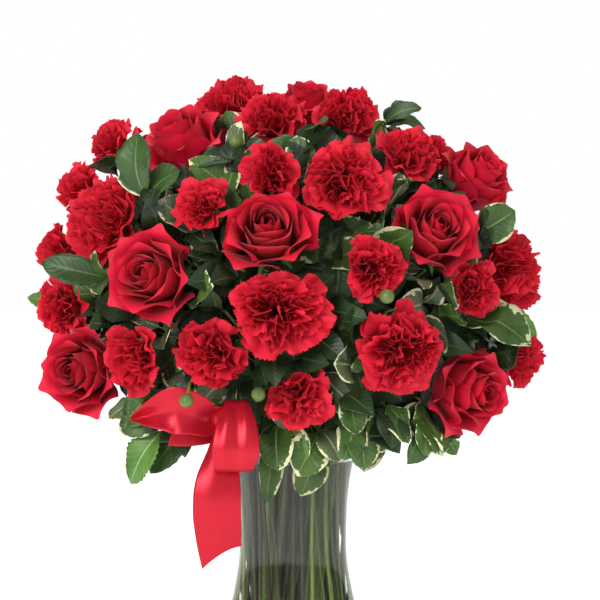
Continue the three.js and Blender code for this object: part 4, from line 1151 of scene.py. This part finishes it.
# Leaves beyond those of the solids, round the rim and in gaps between heads: twig tip, then the leaves
COLLAR_TWIGS = [
    (62, -66, 238, [(-25, -60, 36, 26, "cream"), (15, -52, 34, 28, "dark"), (50, -48, 32, 24, "cream")]),
    (92, -54, 240, [(-35, -50, 30, 25, "pale"), (10, -56, 28, 25, "cream"), (62, -36, 28, 22, "cream")]),
    (48, -62, 228, [(4, -62, 38, 26, "pale"), (-40, -45, 36, 24, "dark"), (45, -30, 38, 26, "dark")]),
    (82, -40, 232, [(20, -40, 40, 28, "dark"), (60, -20, 40, 26, "dark"), (95, -30, 40, 26, "dark")]),
    (-104, -58, 240, [(-80, -30, 24, 15, "pale"), (20, -30, 32, 22, "dark")]),
    (-62, -56, 226, [(-72, -42, 50, 25, "plain"), (-20, -30, 38, 26, "dark")]),
    (-86, -66, 246, [(-86, -18, 36, 25, "plain"), (-40, -40, 32, 22, "dark")]),
    (-58, -14, 404, [(-20, 40, 30, 22, "dark"), (45, 30, 32, 20, "dark")]),
    (-122, -22, 384, [(-60, -10, 26, 20, "dark"), (10, 20, 28, 20, "dark")]),
    (98, -36, 392, [(60, -10, 28, 18, "dark"), (-30, 20, 28, 18, "dark")]),
    (-126, 14, 284, [(-85, 4, 38, 26, "dark"), (-60, -20, 32, 22, "dark")]),
    (38, -96, 266, [(0, 45, 28, 25, "pale")]),
    (138, -22, 264, [(30, -50, 34, 24, "dark"), (80, -20, 34, 24, "dark"), (110, 25, 30, 20, "dark")]),
    (-10, -62, 226, [(0, -50, 38, 25, "cream"), (-55, -30, 36, 24, "dark"), (45, -45, 36, 24, "cream")]),
]


def filler(sector):
    """The collar's leaves and the filling leaves of one sector, on its leafy stem."""
    gather = Gather()
    stem = next(s for s in sector.stems if s["kind"] == "greenery")
    _, rim, leaving = vase_line(stem, sector)
    fork = rim + leaving * FORK_RISE["greenery"] * 0.8
    for number, (x, y, z, leaves) in enumerate(COLLAR_TWIGS):
        at = np.array([x, y, z], float)
        if sector_of(at) is sector:
            twig(gather, fork, leaving, at, leaves, sector, COLLAR_SEEDS + number)
    seed = FILLER_SEEDS
    for depth, tries, size in FILLER_SHELLS:
        for k in range(tries):
            seed += 1
            elevation = math.degrees(math.asin(1 - 2 * (k + 0.5) / tries))
            azimuth = math.degrees((k * GOLDEN_ANGLE) % (2 * math.pi)) - 180
            at = dome_place(elevation, azimuth, depth)
            if elevation < FILLER_LOWEST or sector_of(at) is not sector:
                continue
            if min(at @ wall for wall in sector.walls) < FILLER_WALL_ROOM:
                continue
            if any(np.linalg.norm(at - head.centre) < head.size * 0.98 for head in HEADS):
                continue
            # Front hollows get dark leaves only, which partly serve as painted shade between the heads
            kinds = ["dark"] if at[1] < FILLER_DARK_SHADE_FRONT else FILLER_KINDS
            leaves = [
                (azimuth + 120 * j + 60 * chance(seed, j), elevation + 50 * (chance(seed, j + 9) - 0.4),
                 size * (32 + 10 * chance(seed, j + 5)), size * (19 + 7 * chance(seed, j + 7)),
                 kinds[int(len(kinds) * chance(seed, j + 11))])
                for j in range(3)]
            twig(gather, fork, leaving, at, leaves, sector, seed, FILLER_DETAIL)
    gather.piece(f"filling_leaves_{sector.name}", "greenery", GREEN_MATERIALS)


# Vase and water, turned about the vertical axis

LIP_RADIUS = WALL / 2

# Above this height the inside follows the outside, and below it a rounded corner leads to the floor
WET_FOOT = 16
INNER_FOOT = outer_radius(12) - WALL
TURNED_SIDES = 128

# Light bends at each face by the ratio of what lies on its two sides: glass and air, glass and water, or
# water and air. The water's side lies on the glass, whose wet face already does that bending.
GLASS_IOR = 1.45
WATER_IOR = 1.33


def turned(name, profile, slot, materials, replaces, second_from):
    """A profile of radii and heights turned round; from one row on it has the second material."""
    gather = Gather()
    r, z = np.array(profile, float).T[..., None]
    gather.rings(np.zeros(3), (X, Y, UP), np.maximum(r, 0.02), z, z / VASE_HEIGHT, TURNED_SIDES)
    gather.parts = [np.repeat(np.arange(len(profile) - 1) >= second_from, TURNED_SIDES)]
    return gather.piece(name, slot, materials, replaces)


def vase():
    """Foot, outside, rounded lip, inside and floor; the glass below the water's top is wetted."""
    lip_foot = VASE_HEIGHT - LIP_RADIUS
    foot = [(0, 0), (44, 0), (46.2, 0.3), (47.4, 1.2)]
    outside = [(outer_radius(z), z) for z in np.linspace(3, lip_foot, 56)]
    lip = [(RIM_RADIUS - LIP_RADIUS + LIP_RADIUS * math.cos(a), lip_foot + LIP_RADIUS * math.sin(a))
           for a in np.linspace(0.15, math.pi - 0.15, 9)]
    dry = np.linspace(lip_foot, WATER_TOP, 6)[:-1]
    wet = [WATER_TOP, *np.linspace(WATER_TOP - 4, WET_FOOT, 44)]
    inside = [(outer_radius(z) - WALL, z) for z in [*dry, *wet]]
    floor = [(INNER_FOOT - 0.6, 13), (INNER_FOOT - 2, 10.8), (INNER_FOOT - 5, 9.4),
             (INNER_FOOT - 10, FLOOR_THICKNESS)]
    profile = foot + outside + lip + inside + floor + [(0, FLOOR_THICKNESS)]
    glass = clear_material("clear_glass", (0.93, 0.965, 0.945), GLASS_IOR)
    wetted = clear_material("wetted_glass", (0.97, 0.985, 0.975), GLASS_IOR / WATER_IOR)
    return turned("glass_vase", profile, "glass", [glass, wetted], ["vase"],
                  len(foot + outside + lip) + len(dry))


def water():
    """The water: its floor and side lie on the glass, and its surface climbs a little at the wall."""
    brim = outer_radius(WATER_TOP) - WALL
    floor = [(0, FLOOR_THICKNESS + 0.1), (INNER_FOOT - 10, FLOOR_THICKNESS + 0.1), (INNER_FOOT - 2.1, 10.9),
             (INNER_FOOT - 0.7, 13)]
    side = [(outer_radius(z) - WALL - 0.06, z) for z in np.linspace(WET_FOOT, WATER_TOP - 1.5, 40)]
    surface = [(brim - 0.06, WATER_TOP - 0.2), (brim - 1.2, WATER_TOP - 0.9), (brim - 3.5, WATER_TOP - 1.3),
               (0, WATER_TOP - 1.4)]
    beside = clear_material("water_on_glass", (0.97, 0.98, 0.965), 1.0)
    clear = clear_material("still_water", (0.97, 0.98, 0.965), WATER_IOR)
    below = floor + side
    return turned("vase_water", below + surface, "water", [beside, clear], ["water"], len(below))


# Satin bow: each station is x y z and half width

FRONT_LOOP = [
    (-44, -92, 229, 6), (-40, -92, 237, 7.6), (-37, -97, 243, 8), (-36.5, -106, 241.4, 8.6),
    (-36.5, -114, 230, 13.2), (-37, -118, 214, 15.6), (-38.6, -115, 201, 13),
    (-40, -106, 199, 11.4), (-42, -98, 212, 8), (-44, -93, 226, 6),
]
LEFT_LOOP = [
    (-44, -93, 232, 7), (-54, -102, 231, 10.5), (-66, -108, 236, 14), (-78, -109, 238, 15.5),
    (-92, -104, 235.4, 9.5), (-107, -96, 231, 0.7), (-94, -91, 233, 6.5), (-78, -87, 237, 12.5),
    (-60, -87, 231, 11.5), (-46, -91, 231, 6),
]
SHORT_END = [
    (-45, -91, 229, 7), (-54, -93, 227.5, 12.5), (-64, -96, 227.6, 14.5), (-72, -98, 228.2, 15.2),
    (-79, -99, 228.8, 15.2),
]
TAIL = [
    (-45, -93, 228, 6), (-46, -98, 210, 10), (-49, -105, 190, 14.8), (-49.8, -106, 171, 15.8),
    (-48.7, -101, 153, 15.2), (-47, -97, 138.4, 13.9),
]
# Where each loop turns back its folds run out flat, in parts of its length
FRONT_TURNS = (0.24, 0.33, 0.71)
LEFT_TURNS = (0.556,)
BOW_KNOT = (-45, -92, 231)
RIBBON_THICKNESS = 0.35
KNOT_HEIGHT = 17
KNOT_SIDES = 40


def spline(keys, count):
    """Smooth rows of numbers through the keys."""
    keys = np.array(keys, float)
    ends = np.concatenate([[2 * keys[0] - keys[1]], keys, [2 * keys[-1] - keys[-2]]])
    rows = []
    for x in np.linspace(0, len(keys) - 1, count):
        i = min(int(x), len(keys) - 2)
        t = x - i
        a, b, c, d = ends[i:i + 4]
        rows.append(0.5 * (2 * b + (c - a) * t + (2 * a - 5 * b + 4 * c - d) * t ** 2
                           + (3 * b - a - 3 * c + d) * t ** 3))
    return np.array(rows)


def ribbon(name, stations, width_way, folds, cut=0.0, crown=0.0, turns=(), replaces=()):
    """A satin band through its stations. Its folds have a depth, waves, a phase and a further depth
    where the band is gathered; a crown arches it, and its end is cut on a slant."""
    rows = spline(stations, 90)
    line = rows[:, :3]
    half = rows[:, 3:]
    widest = half.max()
    along = unit(np.gradient(line, axis=0))
    across = unit(width_way - along * (along @ width_way)[:, None])
    thick = np.cross(along, across)
    s = np.linspace(-1, 1, 25)[None, :]
    u = np.linspace(0, 1, len(rows))[:, None]
    calm = np.prod([1 - 0.9 * np.exp(-((u - turn) / 0.07) ** 2) for turn in turns], axis=0)
    depth, waves, phase, deeper = folds
    lift = (deeper * np.clip(1 - half / widest, 0, 1) + depth) * np.cos(waves * s + phase) * calm
    lift = lift + crown * widest * (1 - s * s) * (0.4 + 0.6 * calm)
    slant = -cut * smooth(0.72, 1.0, u) * (s + 0.55 * (1 - s * s))
    points = (line[:, None, :] + (s * half)[..., None] * across[:, None, :]
              + lift[..., None] * thick[:, None, :] + slant[..., None] * along[:, None, :])
    gather = Gather()
    gather.blade(points, RIBBON_THICKNESS, (s + 1) / 2, u)
    return gather.piece(name, "satin_ribbon", [SATIN], replaces)


def knot():
    """The narrow gathered strip round the middle of the bow."""
    t = np.linspace(0, 1, 25)[:, None]
    radius = 5 + 5.2 * np.sin(math.pi * t) ** 0.7 + 0.5 * np.cos(6 * full_turn(KNOT_SIDES) + 5 * t)
    gather = Gather()
    gather.rings(BOW_KNOT, (X, 0.85 * Y, UP), radius, KNOT_HEIGHT * (t - 0.5), t, KNOT_SIDES)
    return gather.piece("bow_knot", "satin_ribbon", [SATIN])


# Stage: pale floor, soft light, and the camera at the photograph's angle

TARGET = (0.0049, 0.0, 0.303)
CAMERA_DISTANCE = 1.6
CAMERA_ELEVATION = 4
HALF_WIDTH = 0.21

# The studio's white walls light the object more than they are mirrored in it
WORLD_LIGHT = 0.95
WORLD_MIRRORED = 0.2

# Lamps: name, energy, size and place; all of them point at this height
LIGHTS = [
    ("key", 24, 0.9, (-0.95, -1.8, 1.0)),
    ("fill", 2, 1.2, (0.8, -1.6, 0.6)),
    ("top", 7, 1.0, (-0.2, 0.3, 1.7)),
]
LIT_HEIGHT = 0.3


def stage():
    scene = bpy.context.scene
    scene.view_settings.view_transform = "Standard"
    elevation = math.radians(CAMERA_ELEVATION)
    data = bpy.data.cameras.new("camera")
    data.angle = 2 * math.atan(HALF_WIDTH / CAMERA_DISTANCE)
    camera = bpy.data.objects.new("camera", data)
    camera.location = (TARGET[0], -CAMERA_DISTANCE * math.cos(elevation),
                       TARGET[2] + CAMERA_DISTANCE * math.sin(elevation))
    camera.rotation_euler = (math.pi / 2 - elevation, 0, 0)
    scene.collection.objects.link(camera)
    scene.camera = camera

    bpy.ops.mesh.primitive_plane_add(size=8, location=(0, 0, 0))
    floor = bpy.context.object
    floor.name = "floor"
    n = material_nodes("pale_floor")
    shader = n.node("ShaderNodeBsdfPrincipled", {
        "Base Color": n.mix(n.noise(30, 2.0), (0.9, 0.9, 0.9), (0.93, 0.93, 0.93)), "Roughness": 0.7,
        "Emission Color": (1, 1, 1), "Emission Strength": 0.30}, "BSDF")
    floor.data.materials.append(n.finish(shader))

    scene.world = bpy.data.worlds.new("studio")
    n = Nodes(scene.world)
    camera_ray, glossy, passed = (n.node("ShaderNodeLightPath", {}, f"Is {ray} Ray")
                                  for ray in ("Camera", "Glossy", "Transmission"))
    light = n.node("ShaderNodeMix", {"Factor": glossy, "A": WORLD_LIGHT, "B": WORLD_MIRRORED})
    seen = n.math("MAXIMUM", camera_ray, passed)
    strength = n.node("ShaderNodeMix", {"Factor": seen, "A": light, "B": 1.0})
    back = n.node("ShaderNodeBackground", {"Color": (1, 1, 1), "Strength": strength})
    n.node("ShaderNodeOutputWorld", {"Surface": back})

    for name, energy, size, place in LIGHTS:
        light = bpy.data.lights.new(name, "AREA")
        light.energy = energy
        light.size = size
        lamp = bpy.data.objects.new(name, light)
        lamp.location = place
        aim = np.array([0, 0, LIT_HEIGHT]) - np.array(place)
        lamp.rotation_euler = Vector(aim).to_track_quat("-Z", "Y").to_euler()
        scene.collection.objects.link(lamp)


stage()
for number, flower in enumerate(HEADS):
    build, red = (rose, ROSE_RED) if flower.kind == "rose" else (carnation, CARNATION_RED)
    petals = build(flower, number)
    petals.piece(f"petals_of_{flower.name}", f"{flower.flower}_petals", [red], [flower.name])
for part in SECTORS:
    place_stems(part)
    handful(part)
    filler(part)
vase()
water()
front_loop = ribbon("bow_front_loop", FRONT_LOOP, X, (0.5, 6.3, 3.0, 3.0), 0.0, 0.08, FRONT_TURNS,
                    ["satin_bow"])
left_loop = ribbon("bow_left_loop", LEFT_LOOP, UP, (0.3, 3.2, 0.4, 4.5), 0.0, 0.18, LEFT_TURNS)
short_end = ribbon("bow_short_end", SHORT_END, UP, (0.3, 3.2, 0.8, 2.0), 2.0, 0.06)
tail = ribbon("bow_tail", TAIL, X, (0.4, 3.0, 0.9, 2.0), 6.8, 0.10)
wrap = knot()

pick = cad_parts["bow_pick"]
pick.data.materials.clear()
pick.data.materials.append(WIRE_GREEN)
